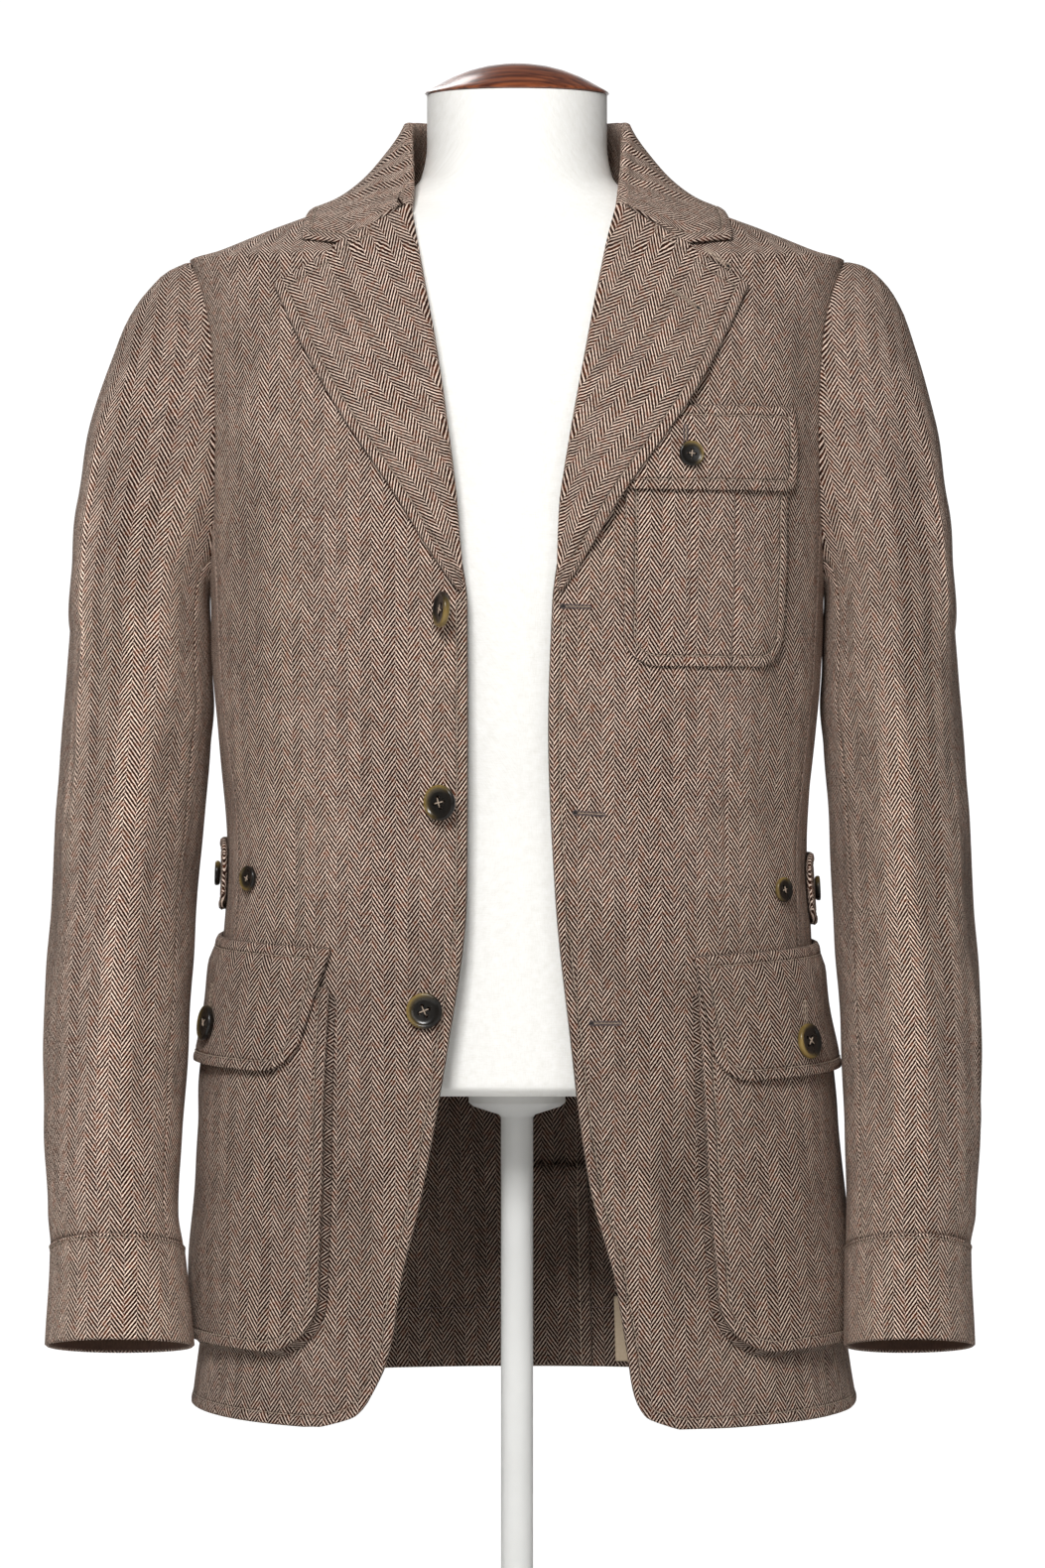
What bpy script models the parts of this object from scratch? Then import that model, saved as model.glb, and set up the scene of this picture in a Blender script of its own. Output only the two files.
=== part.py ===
"""Tweed safari jacket, worn open on a limbless dress form with a short stand.

Metres, +Z up.  The front of the jacket faces -Y and +X is the wearer's left.
The origin is the centre of the underside of the stand's foot.
"""
import math

import bmesh
import bpy
import numpy as np
from mathutils import Vector

# Cloth and seams
CLOTH = 0.0020        # wall of one layer of tweed
DOUBLE = 0.0028       # wall of a faced piece: lapels, collar, flaps, tabs, cuffs
SEAM = 0.0003         # gap between two pieces at a seam
LIE = 0.0009          # gap under a piece that lies on a panel

# Horizontal sections of the jacket's body, hem to neck
SECTIONS = (
    # height, half_width, front_depth, back_depth, squareness
    (0.120, 0.2110, 0.1280, 0.1250, 2.5),
    (0.180, 0.2010, 0.1270, 0.1240, 2.5),
    (0.300, 0.1895, 0.1220, 0.1180, 2.5),
    (0.400, 0.1845, 0.1160, 0.1080, 2.5),
    (0.490, 0.1800, 0.1130, 0.1000, 2.5),
    (0.560, 0.1858, 0.1160, 0.1030, 2.6),
    (0.600, 0.1892, 0.1185, 0.1065, 2.65),
    (0.640, 0.1903, 0.1210, 0.1100, 2.7),
    (0.700, 0.1920, 0.1220, 0.1160, 2.7),
    (0.760, 0.1950, 0.1170, 0.1170, 2.6),
    (0.810, 0.1990, 0.1050, 0.1090, 2.4),
    (0.845, 0.2035, 0.0890, 0.0980, 2.2),
    (0.852, 0.2035, 0.0860, 0.0960, 2.2),
    (0.860, 0.1790, 0.0820, 0.0930, 2.1),
    (0.876, 0.1345, 0.0730, 0.0870, 2.0),
    (0.8945, 0.0780, 0.0540, 0.0745, 2.0),
)

# Largest hanging folds, as soft troughs and ridges along the body
FOLDS = (
    # across, low, high, half_width, depth, face (-1 front, 1 back)
    (0.100, 0.170, 0.350, 0.013, -0.0040, -1),
    (-0.098, 0.160, 0.330, 0.014, -0.0030, -1),
    (0.166, 0.520, 0.760, 0.013, -0.0035, -1),
    (-0.168, 0.530, 0.770, 0.013, -0.0035, -1),
    (0.120, 0.160, 0.420, 0.022, 0.0035, 1),
    (-0.110, 0.160, 0.400, 0.024, 0.0035, 1),
    (0.140, 0.560, 0.760, 0.016, -0.0040, 1),
    (-0.142, 0.560, 0.770, 0.016, -0.0040, 1),
)

# The skirt hangs a little to the wearer's left
SKIRT_SWAY = 0.0045
SKIRT_SWAY_TOP, SKIRT_SWAY_LOW = 0.340, 0.150

# Hem, lower at the front
HEM_FRONT = 0.1345
HEM_BACK = 0.1570
HEM_TURN_UP = 0.040
TURN_UP_WALL = 0.0012

# Front edges below the break and roll lines above it
FRONT_EDGE = (
    # height, right_x, left_x
    (0.1345, 0.1295, 0.0955),
    (0.1430, 0.1035, 0.0745),
    (0.1580, 0.0923, 0.0672),
    (0.1800, 0.0823, 0.0642),
    (0.2270, 0.0732, 0.0573),
    (0.2800, 0.0594, 0.0441),
    (0.3650, 0.0430, 0.0340),
    (0.4600, 0.0312, 0.0240),
    (0.5600, 0.0305, 0.0198),
    (0.6360, 0.0308, 0.0222),
    (0.6930, 0.0365, 0.0262),
    (0.7385, 0.0420, 0.0330),
    (0.7880, 0.0490, 0.0420),
    (0.8355, 0.0575, 0.0510),
    (0.8720, 0.0640, 0.0590),
    (0.8840, 0.0660, 0.0630),
    (0.8935, 0.0745, 0.0745),
)

# Seams of the side bodies, as angles round the body from the front
FRONT_SEAM_HEM, FRONT_SEAM_TOP = math.radians(64), math.radians(76)
BACK_SEAM_HEM, BACK_SEAM_TOP = math.radians(122), math.radians(108)

# Armhole, an oval on the side of the body
ARMHOLE_LOW = 0.6450
SHOULDER_TIP = 0.8520
ARMHOLE_FRONT = 0.050
ARMHOLE_BACK = 0.060
ARMHOLE_MID = (ARMHOLE_LOW + SHOULDER_TIP) / 2
ARMHOLE_HALF = (SHOULDER_TIP - ARMHOLE_LOW) / 2

# Rows and columns of the body panels
LOWER_ROWS = (0, 0.008, 0.026, 0.06, 0.12, 0.20, 0.30, 0.40, 0.50, 0.59, 0.68, 0.77, 0.86, 0.93, 1)
ARMHOLE_ROWS = (0.705, 0.740, 0.775, 0.807, 0.832, 0.846)
SHOULDER_ROWS = (0.852, 0.856, 0.862, 0.869, 0.877, 0.885, 0.8935)
FRONT_COLUMNS = 9
SIDE_COLUMNS = 5
BACK_COLUMNS = 8
RIDGE_CROWDING = 1.5      # columns crowd towards the shoulder ridge, where the cloth bends most

# Lapels
BREAK_HEIGHT = 0.640
GORGE_HEIGHT = 0.880
LAPEL_TIP = 0.832
LAPEL_ROLL = 0.0027       # radius of the fold's middle line
LAPEL_ROOM = 0.0040       # the front stops this far short of the roll line
LAPEL_LIE = 0.0012
LAPEL_STACK = 0.0055      # the left lapel rides this much higher over the chest flap
LAPEL_ROWS = 11
LAPEL_COLUMNS = 7
LAPEL_WIDTHS = (
    # height, width
    (0.640, 0.0050),
    (0.660, 0.0140),
    (0.705, 0.0365),
    (0.750, 0.0610),
    (0.790, 0.0780),
    (0.832, 0.0905),
)

# Collar, from the centre back round to the end at the gorge
COLLAR_ROLL = 0.0036
COLLAR_LIE = 0.0018
COLLAR_STATIONS = 10
COLLAR = (
    # seam_x, seam_y, seam_z, crease_x, crease_y, crease_z, edge_x, edge_y, sag
    (0.0000, 0.0735, 0.8940, 0.0000, 0.0750, 0.9430, 0.0000, 0.0850, 0.002),
    (0.0550, 0.0520, 0.8940, 0.0500, 0.0540, 0.9420, 0.0680, 0.0730, 0.002),
    (0.0765, 0.0000, 0.8940, 0.0680, 0.0000, 0.9380, 0.1310, 0.0060, 0.009),
    (0.0685, -0.0310, 0.8920, 0.0670, -0.0310, 0.9140, 0.1370, -0.0300, 0.002),
    (0.0590, -0.0560, 0.8800, 0.0620, -0.0560, 0.8850, 0.1340, -0.0470, 0.000),
)
# Front end of the collar: down the gorge to the notch, then out to the corner
COLLAR_END = (
    # x, height
    (0.0680, 0.8800),
    (0.0800, 0.8726),
    (0.0925, 0.8649),
    (0.1030, 0.8584),
    (0.1340, 0.8670),
)

# Sleeves: rings that fan out round the underarm, then rings down the arm
PIVOT_X, PIVOT_Z = 0.186, 0.622
SLEEVE_HEAD = (
    # turn_degrees, reach, inner_reach, front_depth, back_depth
    (0.0, 0.2300, 0.0230, 0.0500, 0.0600),
    (4.0, 0.2285, 0.0215, 0.0530, 0.0625),
    (9.0, 0.2200, 0.0205, 0.0555, 0.0650),
    (14.0, 0.2065, 0.0190, 0.0570, 0.0665),
    (20.0, 0.1845, 0.0170, 0.0585, 0.0680),
    (30.0, 0.1535, 0.0145, 0.0600, 0.0690),
    (46.0, 0.1170, 0.0110, 0.0615, 0.0690),
    (67.0, 0.0960, 0.0075, 0.0625, 0.0685),
    (90.0, 0.0890, 0.0050, 0.0630, 0.0680),
)
SLEEVE_ARM = (
    # height, centre_x, centre_y, half_width, half_depth, forward_tilt_degrees
    (0.6220, 0.2330, 0.0025, 0.0420, 0.0655, 0.0),
    (0.5600, 0.2355, 0.0030, 0.0445, 0.0645, 0.0),
    (0.5000, 0.2395, 0.0010, 0.0455, 0.0625, 1.5),
    (0.4400, 0.2430, -0.0040, 0.0450, 0.0600, 4.0),
    (0.3800, 0.2465, -0.0165, 0.0440, 0.0570, 8.0),
    (0.3200, 0.2472, -0.0310, 0.0424, 0.0540, 11.0),
    (0.2420, 0.2454, -0.0520, 0.0400, 0.0505, 13.0),
    (0.1830, 0.2440, -0.0680, 0.0396, 0.0490, 13.0),
)
# Both arms hang a little to the wearer's right, fully where they are far from the body
ARM_SWAY = -0.0028
ARM_SWAY_NEAR, ARM_SWAY_FAR = 0.206, 0.240
SLEEVE_FOLDS = (
    # ring_angle_degrees, low, high, half_angle_degrees, depth
    (35.0, 0.560, 0.800, 13.0, 0.0030),
    (75.0, 0.520, 0.780, 12.0, -0.0025),
    (20.0, 0.380, 0.520, 16.0, -0.0025),
    (250.0, 0.420, 0.600, 14.0, -0.0030),
    (150.0, 0.400, 0.560, 16.0, -0.0025),
)
ARM_ROWS = (0.58, 0.535, 0.495, 0.455, 0.41, 0.36, 0.30, 0.242)
CUFF_ROWS = (0.2415, 0.228, 0.205, 0.183)
CUFF_PROUD = 0.0008
RING_POINTS = 20
UNDER_FIRST, UNDER_LAST = 8, 16     # ring points where the sleeve's two seams lie

# Chest pocket, on the left front only
CHEST_X = 0.0660
CHEST_WIDTH = 0.1090
CHEST_LOW, CHEST_HIGH = 0.5990, 0.7400
CHEST_CORNER = 0.022
PLEAT_HALF = 0.013
PLEAT_RISE = 0.0008
CHEST_WALL = 0.0016
CHEST_FLAP_WALL = 0.0022
CHEST_FLAP_X = 0.0620
CHEST_FLAP_WIDTH = 0.1150
CHEST_FLAP_LOW, CHEST_FLAP_HIGH = 0.7060, 0.7570
CHEST_FLAP_CORNER = 0.009
CHEST_FLAP_SETTLE = 0.015     # drop below its sewn edge over which the flap clears the pocket

# Hip bellows pockets
HIP_ANGLE = {-1: math.radians(33), 1: math.radians(31.5)}
HIP_WIDTH = 0.1850
HIP_DIP = 0.010           # the pockets follow the hem, lower towards the front
HIP_LOW, HIP_HIGH = 0.1890, 0.4120
HIP_CORNER = 0.036
HIP_DEPTHS = (
    # height, depth
    (0.184, 0.0060),
    (0.234, 0.0075),
    (0.324, 0.0075),
    (0.374, 0.0050),
    (0.399, 0.0028),
    (0.414, 0.0018),
    (0.438, 0.0000),
)
GUSSET_WALL = 0.0013
GUSSET_SPREAD = 0.0030
HIP_FLAP_ANGLE = {-1: math.radians(33.2), 1: math.radians(31)}
HIP_FLAP_WIDTH = {-1: 0.1860, 1: 0.1930}
HIP_FLAP_LOW, HIP_FLAP_HIGH = 0.3590, 0.4360
HIP_FLAP_DROP = {-1: 0.0, 1: 0.0050}      # the left flap is sewn on a little lower
HIP_FLAP_CORNER = 0.020
HIP_FLAP_SLANT = {-1: 0.020, 1: 0.010}
HIP_FLAP_SETTLE = 0.016

# Waist tabs, sewn into the back seams
TAB_ANGLE = math.radians(80)
TAB_LENGTH = 0.0720
TAB_MIDDLE = {-1: 0.4715, 1: 0.4620}
TAB_HEIGHT = 0.0430
TAB_LIE = 0.0013
TAB_CORNER = 0.010

# Vent in the centre back seam
VENT_TOP = 0.2850
VENT_LAP = 0.0430

# Buttons: four-hole horn, dished
BIG_BUTTON = 0.0220
SMALL_BUTTON = 0.0155
BUTTON_SIDES = 14
BUTTON_LIE = 0.0003
BUTTON_PROFILE = (
    # radius share, height share
    (0.86, 0.00),
    (1.00, 0.09),
    (1.00, 0.16),
    (0.90, 0.22),
    (0.68, 0.17),
)

# Buttons sewn flat, and the layer each lies on
SEWN_BUTTONS = (
    # name, side, angle_degrees, height, diameter, layer
    ("front_button_2", -1, 10.0, 0.5160, BIG_BUTTON, "front"),
    ("front_button_3", -1, 13.0, 0.3890, BIG_BUTTON, "front"),
    ("chest_button", 1, 25.9, 0.7270, SMALL_BUTTON, "chest_flap"),
    ("hip_button_right", -1, 73.5, 0.3790, BIG_BUTTON, "hip_flap"),
    ("hip_button_left", 1, 62.0, 0.3685, BIG_BUTTON, "hip_flap"),
    ("tab_button_right", -1, 90.0, TAB_MIDDLE[-1], SMALL_BUTTON, "tab"),
    ("tab_button_left", 1, 90.0, TAB_MIDDLE[1], SMALL_BUTTON, "tab"),
    ("spare_button_right", -1, 62.5, 0.4690, SMALL_BUTTON, "front"),
    ("spare_button_left", 1, 60.7, 0.4620, SMALL_BUTTON, "front"),
)
# The top button hangs on its thread, tipped onto its edge
LOOSE_BUTTON_X, LOOSE_BUTTON_Z = 0.0430, 0.6330
LOOSE_BUTTON_LEAN = math.radians(62)
LOOSE_BUTTON_OUT = 0.0083

# Dress form and its short stand
FORM_SECTIONS = (
    # height, half_width, front_depth, back_depth, squareness
    (0.3360, 0.1520, 0.0880, 0.0800, 2.2),
    (0.3420, 0.1590, 0.0940, 0.0860, 2.2),
    (0.4100, 0.1590, 0.0940, 0.0860, 2.2),
    (0.4900, 0.1540, 0.0940, 0.0820, 2.2),
    (0.5800, 0.1600, 0.1010, 0.0880, 2.3),
    (0.6700, 0.1680, 0.1080, 0.0980, 2.4),
    (0.7500, 0.1740, 0.1050, 0.1050, 2.4),
    (0.8100, 0.1790, 0.0940, 0.1010, 2.3),
    (0.8440, 0.1830, 0.0820, 0.0930, 2.2),
    (0.8556, 0.1790, 0.0780, 0.0885, 2.1),
    (0.8716, 0.1345, 0.0685, 0.0820, 2.0),
    (0.8893, 0.0780, 0.0570, 0.0680, 2.0),
    (0.9040, 0.0595, 0.0565, 0.0600, 2.0),
    (0.9250, 0.0560, 0.0560, 0.0560, 2.0),
    (0.9550, 0.0560, 0.0560, 0.0560, 2.0),
)
FORM_ROWS = (
    0.3360, 0.3420, 0.39, 0.44, 0.49, 0.55, 0.61, 0.67, 0.72, 0.77, 0.81, 0.835, 0.848,
    0.8556, 0.862, 0.869, 0.876, 0.883, 0.8893, 0.896, 0.904, 0.914, 0.925, 0.955,
)
FORM_SIDES = 24
CAP_PROFILE = (
    # radius, height
    (0.0540, 0.9553),
    (0.0570, 0.9585),
    (0.0570, 0.9625),
    (0.0545, 0.9660),
    (0.0440, 0.9705),
    (0.0240, 0.9740),
)
CAP_TOP = 0.9750
POLE_PROFILE = (
    # radius, height
    (0.0220, 0.0173),
    (0.0220, 0.0280),
    (0.0100, 0.0330),
    (0.0100, 0.3200),
    (0.0300, 0.3290),
    (0.0300, 0.3357),
)
BASE_PROFILE = (
    # radius, height
    (0.1480, 0.0000),
    (0.1500, 0.0025),
    (0.1500, 0.0090),
    (0.1470, 0.0125),
    (0.0600, 0.0170),
)
TURNED_SIDES = 24


def smooth_curve(table, column):
    """Return a curve through one column of a table that never overshoots between its rows."""
    rows = np.array(table, dtype=float)
    xs, ys = rows[:, 0], rows[:, column]
    steps = np.diff(xs)
    slopes = np.diff(ys) / steps
    bends = np.concatenate([slopes[:1], np.zeros(len(xs) - 2), slopes[-1:]])
    for k in range(1, len(xs) - 1):
        if slopes[k - 1] * slopes[k] > 0:
            before = 2 * steps[k] + steps[k - 1]
            after = steps[k] + 2 * steps[k - 1]
            bends[k] = (before + after) / (before / slopes[k - 1] + after / slopes[k])

    def curve(x):
        x = np.clip(np.asarray(x, dtype=float), xs[0], xs[-1])
        k = np.clip(np.searchsorted(xs, x) - 1, 0, len(steps) - 1)
        s = (x - xs[k]) / steps[k]
        rise = ys[k] * (1 + 2 * s) * (1 - s) ** 2 + ys[k + 1] * s * s * (3 - 2 * s)
        return rise + steps[k] * s * (1 - s) * (bends[k] * (1 - s) - bends[k + 1] * s)

    return curve


def curves(table):
    """Return one smooth curve for each column after the first."""
    return [smooth_curve(table, column) for column in range(1, len(table[0]))]


BODY_CURVES = curves(SECTIONS)
FORM_CURVES = curves(FORM_SECTIONS)
EDGE_CURVES = {-1: smooth_curve(FRONT_EDGE, 1), 1: smooth_curve(FRONT_EDGE, 2)}
LAPEL_WIDTH = smooth_curve(LAPEL_WIDTHS, 1)
HIP_DEPTH = smooth_curve(HIP_DEPTHS, 1)
HEAD_CURVES = curves(SLEEVE_HEAD)
ARM_CURVES = curves(SLEEVE_ARM[::-1])
COLLAR_CURVES = curves([(k,) + row for k, row in enumerate(COLLAR)])


def mix(a, b, share):
    return a + (b - a) * share


def unit(vectors):
    return vectors / np.linalg.norm(vectors, axis=-1, keepdims=True)


def bump(x, centre, half_width):
    return np.exp(-((x - centre) / half_width) ** 2)


def window(z, low, high):
    """Rise and fall smoothly between two heights."""
    middle, half = (low + high) / 2, (high - low) / 2
    return np.clip(1 - ((z - middle) / half) ** 2, 0, 1) ** 2


def section_point(section, angle, z):
    """Point at an angle round a section; 0 is the front, 90 degrees the wearer's left."""
    width, front, back, square = (curve(z) for curve in section)
    sine, cosine = np.sin(angle), np.cos(angle)
    x = width * np.sign(sine) * np.abs(sine) ** (2 / square)
    depth = np.where(cosine > 0, front, back)
    y = -depth * np.sign(cosine) * np.abs(cosine) ** (2 / square)
    return np.stack(np.broadcast_arrays(x, y, z), axis=-1)


def section_level(section, points):
    """How far a point lies out on its section; 1 is on the surface."""
    x, y, z = points[..., 0], points[..., 1], points[..., 2]
    width, front, back, square = (curve(z) for curve in section)
    depth = np.where(y < 0, front, back)
    return np.abs(x / width) ** square + np.abs(y / depth) ** square


def body_slope(points):
    """Gradient of the body's level."""
    step = 1e-5
    slopes = []
    for axis in range(3):
        shift = np.zeros(3)
        shift[axis] = step
        rise = section_level(BODY_CURVES, points + shift) - section_level(BODY_CURVES, points - shift)
        slopes.append(rise / (2 * step))
    return np.stack(slopes, axis=-1)


def body_normal(points):
    return unit(body_slope(points))


def body_fold(points):
    x, y, z = points[..., 0], points[..., 1], points[..., 2]
    total = np.zeros_like(x)
    for across, low, high, half_width, depth, face in FOLDS:
        total += depth * bump(x, across, half_width) * window(z, low, high) * (y * face > 0)
    return total


def body(angle, z, out=0.0):
    """Point on the jacket's outer surface, moved out along its normal."""
    points = section_point(BODY_CURVES, angle, z)
    lift = body_fold(points) + out
    share = np.clip((SKIRT_SWAY_TOP - points[..., 2:]) / (SKIRT_SWAY_TOP - SKIRT_SWAY_LOW), 0, 1)
    swing = SKIRT_SWAY * share * np.array([1, 0, 0])
    return points + body_normal(points) * lift[..., None] + swing


def angle_at_x(x, z):
    """Angle on the front of the body where it is x away from the middle."""
    width, square = BODY_CURVES[0](z), BODY_CURVES[3](z)
    return np.arcsin(np.clip(x / width, 0, 1) ** (square / 2))


def angle_at_y(y, z):
    """Angle on the side of the body where it is y in front (negative) or behind."""
    depth = BODY_CURVES[1](z) if y < 0 else BODY_CURVES[2](z)
    square = BODY_CURVES[3](z)
    return math.acos(-math.copysign((abs(y) / depth) ** (square / 2), y))


def angle_along(start, distance, z):
    """Angle reached by walking a distance round the body at one height."""
    angles = np.linspace(start, start + 2.6, 400)
    points = section_point(BODY_CURVES, angles, np.full_like(angles, z))
    walked = np.concatenate([[0], np.cumsum(np.linalg.norm(np.diff(points, axis=0), axis=1))])
    return np.interp(distance, walked, angles)


def hem_height(angle):
    return mix(HEM_BACK, HEM_FRONT, (1 + np.cos(angle)) / 2)


def armhole_height(y):
    """Lower edge of the armhole at a depth y."""
    half = ARMHOLE_FRONT if y < 0 else ARMHOLE_BACK
    return ARMHOLE_MID - ARMHOLE_HALF * math.sqrt(1 - (y / half) ** 2)


def armhole_angle(z, face):
    """Edge of the armhole at one height, on the front (-1) or the back (1)."""
    half = ARMHOLE_FRONT if face < 0 else ARMHOLE_BACK
    y = face * half * math.sqrt(max(1 - ((z - ARMHOLE_MID) / ARMHOLE_HALF) ** 2, 0))
    return angle_at_y(y, z) if abs(y) > 1e-6 else math.pi / 2


def armhole_foot(angle):
    """Height where a seam at this angle runs into the armhole."""
    z = ARMHOLE_LOW + 0.02
    for _ in range(12):
        y = float(section_point(BODY_CURVES, np.array(angle), np.array(z))[1])
        z = armhole_height(y)
    return z


FRONT_TOP = armhole_foot(FRONT_SEAM_TOP)
BACK_TOP = armhole_foot(BACK_SEAM_TOP)


def normals_of(grid, closed=False):
    """Normals of a grid of points, from the differences between neighbours."""
    if closed:
        padded = np.concatenate([grid[:, -1:], grid, grid[:, :1]], axis=1)
        across = np.gradient(padded, axis=1)[:, 1:-1]
    else:
        across = np.gradient(grid, axis=1)
    along = np.gradient(grid, axis=0)
    return unit(np.cross(across, along))


def trim(grid, *edges):
    """Pull the named edges of a grid back by half a seam."""
    grid = grid.copy()
    spots = {"first_row": (0, 1), "last_row": (-1, -2)}
    for edge in edges:
        view = grid if edge.endswith("row") else grid.swapaxes(0, 1)
        end, next_to = spots[edge.replace("column", "row")]
        pull = view[next_to] - view[end]
        view[end] += unit(pull) * SEAM / 2
    return grid


def make_material(name, colour, roughness):
    material = bpy.data.materials.new(name)
    material.use_nodes = True
    shader = material.node_tree.nodes["Principled BSDF"]
    shader.inputs["Base Color"].default_value = (*colour, 1.0)
    shader.inputs["Roughness"].default_value = roughness
    return material


def make_object(name, points, faces, material):
    """Add a closed mesh with its faces pointing out."""
    mesh = bpy.data.meshes.new(name)
    mesh.from_pydata([tuple(point) for point in points], [], faces)
    bm = bmesh.new()
    bm.from_mesh(mesh)
    if bm.calc_volume(signed=True) < 0:
        bmesh.ops.reverse_faces(bm, faces=bm.faces)
    bm.to_mesh(mesh)
    bm.free()
    mesh.shade_smooth()
    mesh.set_sharp_from_angle(angle=math.radians(50))
    mesh.materials.append(material)
    thing = bpy.data.objects.new(name, mesh)
    bpy.context.collection.objects.link(thing)
    return thing


def make_wall(name, outer, inner, material, closed=False):
    """Add a wall between two grids of points, with a rim on its open edges."""
    rows, columns = outer.shape[:2]
    points = np.concatenate([outer.reshape(-1, 3), inner.reshape(-1, 3)])
    shift = rows * columns
    steps = columns if closed else columns - 1
    faces = []
    for i in range(rows - 1):
        for j in range(steps):
            a, b = i * columns + j, i * columns + (j + 1) % columns
            c, d = b + columns, a + columns
            faces.append((a, b, c, d))
            faces.append((d + shift, c + shift, b + shift, a + shift))
    for j in range(steps):
        a, b = j, (j + 1) % columns
        faces.append((b, a, a + shift, b + shift))
        c, d = a + (rows - 1) * columns, b + (rows - 1) * columns
        faces.append((c, d, d + shift, c + shift))
    if not closed:
        for i in range(rows - 1):
            a, b = i * columns, (i + 1) * columns
            faces.append((a, b, b + shift, a + shift))
            c, d = b - 1, b + columns - 1
            faces.append((d, c, c + shift, d + shift))
    return make_object(name, points, faces, material)


def make_rings(name, rings, material):
    """Add a solid through closed rings, with flat ends."""
    rows, columns = rings.shape[:2]
    faces = [tuple(range(columns))[::-1], tuple(range((rows - 1) * columns, rows * columns))]
    for i in range(rows - 1):
        for j in range(columns):
            a, b = i * columns + j, i * columns + (j + 1) % columns
            faces.append((a, b, b + columns, a + columns))
    return make_object(name, rings.reshape(-1, 3), faces, material)


def make_turned(name, profile, material, tip=None, sides=TURNED_SIDES):
    """Add a turned solid from (radius, height) pairs, closed flat or with a tip."""
    turns = np.linspace(0, 2 * math.pi, sides, endpoint=False)
    rings = [[(r * math.cos(a), r * math.sin(a), z) for a in turns] for r, z in profile]
    points = [point for ring in rings for point in ring]
    faces = [tuple(range(sides))[::-1]]
    for i in range(len(profile) - 1):
        for j in range(sides):
            a, b = i * sides + j, i * sides + (j + 1) % sides
            faces.append((a, b, b + sides, a + sides))
    last = (len(profile) - 1) * sides
    if tip is None:
        faces.append(tuple(range(last, last + sides)))
    else:
        points.append((0, 0, tip))
        faces += [(last + j, last + (j + 1) % sides, len(points) - 1) for j in range(sides)]
    return make_object(name, points, faces, material)


def panel_wall(name, angle, z, material, edges, turn_up=False):
    """Add a body panel from a grid of angles and heights."""
    wall = np.full_like(z, CLOTH)
    if turn_up:
        wall += TURN_UP_WALL * (z < hem_height(angle) + HEM_TURN_UP)
    outer = trim(body(angle, z), *edges)
    inner = trim(body(angle, z, -wall), *edges)
    return make_wall(name, outer, inner, material)


def lapel_room(z):
    """How far the front's cut stops short of the roll line, where the lapel turns over."""
    return LAPEL_ROOM * np.clip((z - BREAK_HEIGHT) / 0.04 + 1, 0, 1)


def make_front(side, name, material):
    shares = np.linspace(0, 1, FRONT_COLUMNS)
    edge = EDGE_CURVES[side]
    angles, heights = [], []
    for q in LOWER_ROWS:
        outer = mix(FRONT_SEAM_HEM, FRONT_SEAM_TOP, q)
        inner = 0.5
        for _ in range(20):
            z = mix(hem_height(inner), FRONT_TOP, q)
            inner = float(angle_at_x(edge(z) + lapel_room(z), z))
        angle = mix(inner, outer, shares)
        angles.append(angle)
        heights.append(mix(hem_height(angle), FRONT_TOP, q))
    for z in ARMHOLE_ROWS + SHOULDER_ROWS:
        outer = armhole_angle(z, -1) if z < SHOULDER_TIP else math.pi / 2
        inner = float(angle_at_x(edge(z) + lapel_room(z), z))
        crowded = 1 - (1 - shares) ** RIDGE_CROWDING
        angles.append(mix(inner, outer, crowded))
        heights.append(np.full(FRONT_COLUMNS, z))
    return panel_wall(name, side * np.array(angles), np.array(heights), material, ["last_column"])


def make_side(side, name, material):
    shares = np.linspace(0, 1, SIDE_COLUMNS)
    tops = np.array([armhole_foot(angle) for angle in mix(FRONT_SEAM_TOP, BACK_SEAM_TOP, shares)])
    angles, heights = [], []
    for q in LOWER_ROWS:
        first = mix(FRONT_SEAM_HEM, FRONT_SEAM_TOP, q)
        last = mix(BACK_SEAM_HEM, BACK_SEAM_TOP, q)
        angle = mix(first, last, shares)
        angles.append(angle)
        heights.append(mix(hem_height(angle), tops, q))
    edges = ["first_column", "last_column", "last_row"]
    return panel_wall(name, side * np.array(angles), np.array(heights), material, edges)


def make_back(side, name, material):
    shares = np.linspace(0, 1, BACK_COLUMNS)
    angles, heights = [], []
    for q in LOWER_ROWS:
        angle = mix(mix(BACK_SEAM_HEM, BACK_SEAM_TOP, q), math.pi, shares)
        angles.append(angle)
        heights.append(mix(hem_height(angle), BACK_TOP, q))
    for z in ARMHOLE_ROWS + SHOULDER_ROWS:
        outer = armhole_angle(z, 1) if z < SHOULDER_TIP else math.pi / 2
        angles.append(mix(outer, math.pi, shares ** RIDGE_CROWDING))
        heights.append(np.full(BACK_COLUMNS, z))
    edges = ["first_column", "last_column"]
    return panel_wall(name, side * np.array(angles), np.array(heights), material, edges, turn_up=True)


def make_vent_underlap(material):
    """The right back's extension, inside the left back below the vent's top."""
    rows, columns = 7, 5
    across = np.linspace(0.0010, VENT_LAP, columns)
    inside = CLOTH + TURN_UP_WALL + LIE
    angles, heights = [], []
    for share in np.linspace(0, 1, rows):
        z = mix(HEM_BACK + 0.001, VENT_TOP, share)
        angles.append(math.pi - angle_at_x(across, z))
        heights.append(np.full(columns, z))
    angles, heights = np.array(angles), np.array(heights)
    outer = body(angles, heights, -inside)
    inner = body(angles, heights, -inside - CLOTH)
    return make_wall("vent_underlap", outer, inner, material)


def ease(share):
    """Go smoothly from 0 to 1."""
    share = np.clip(share, 0, 1)
    return share * share * (3 - 2 * share)


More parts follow.
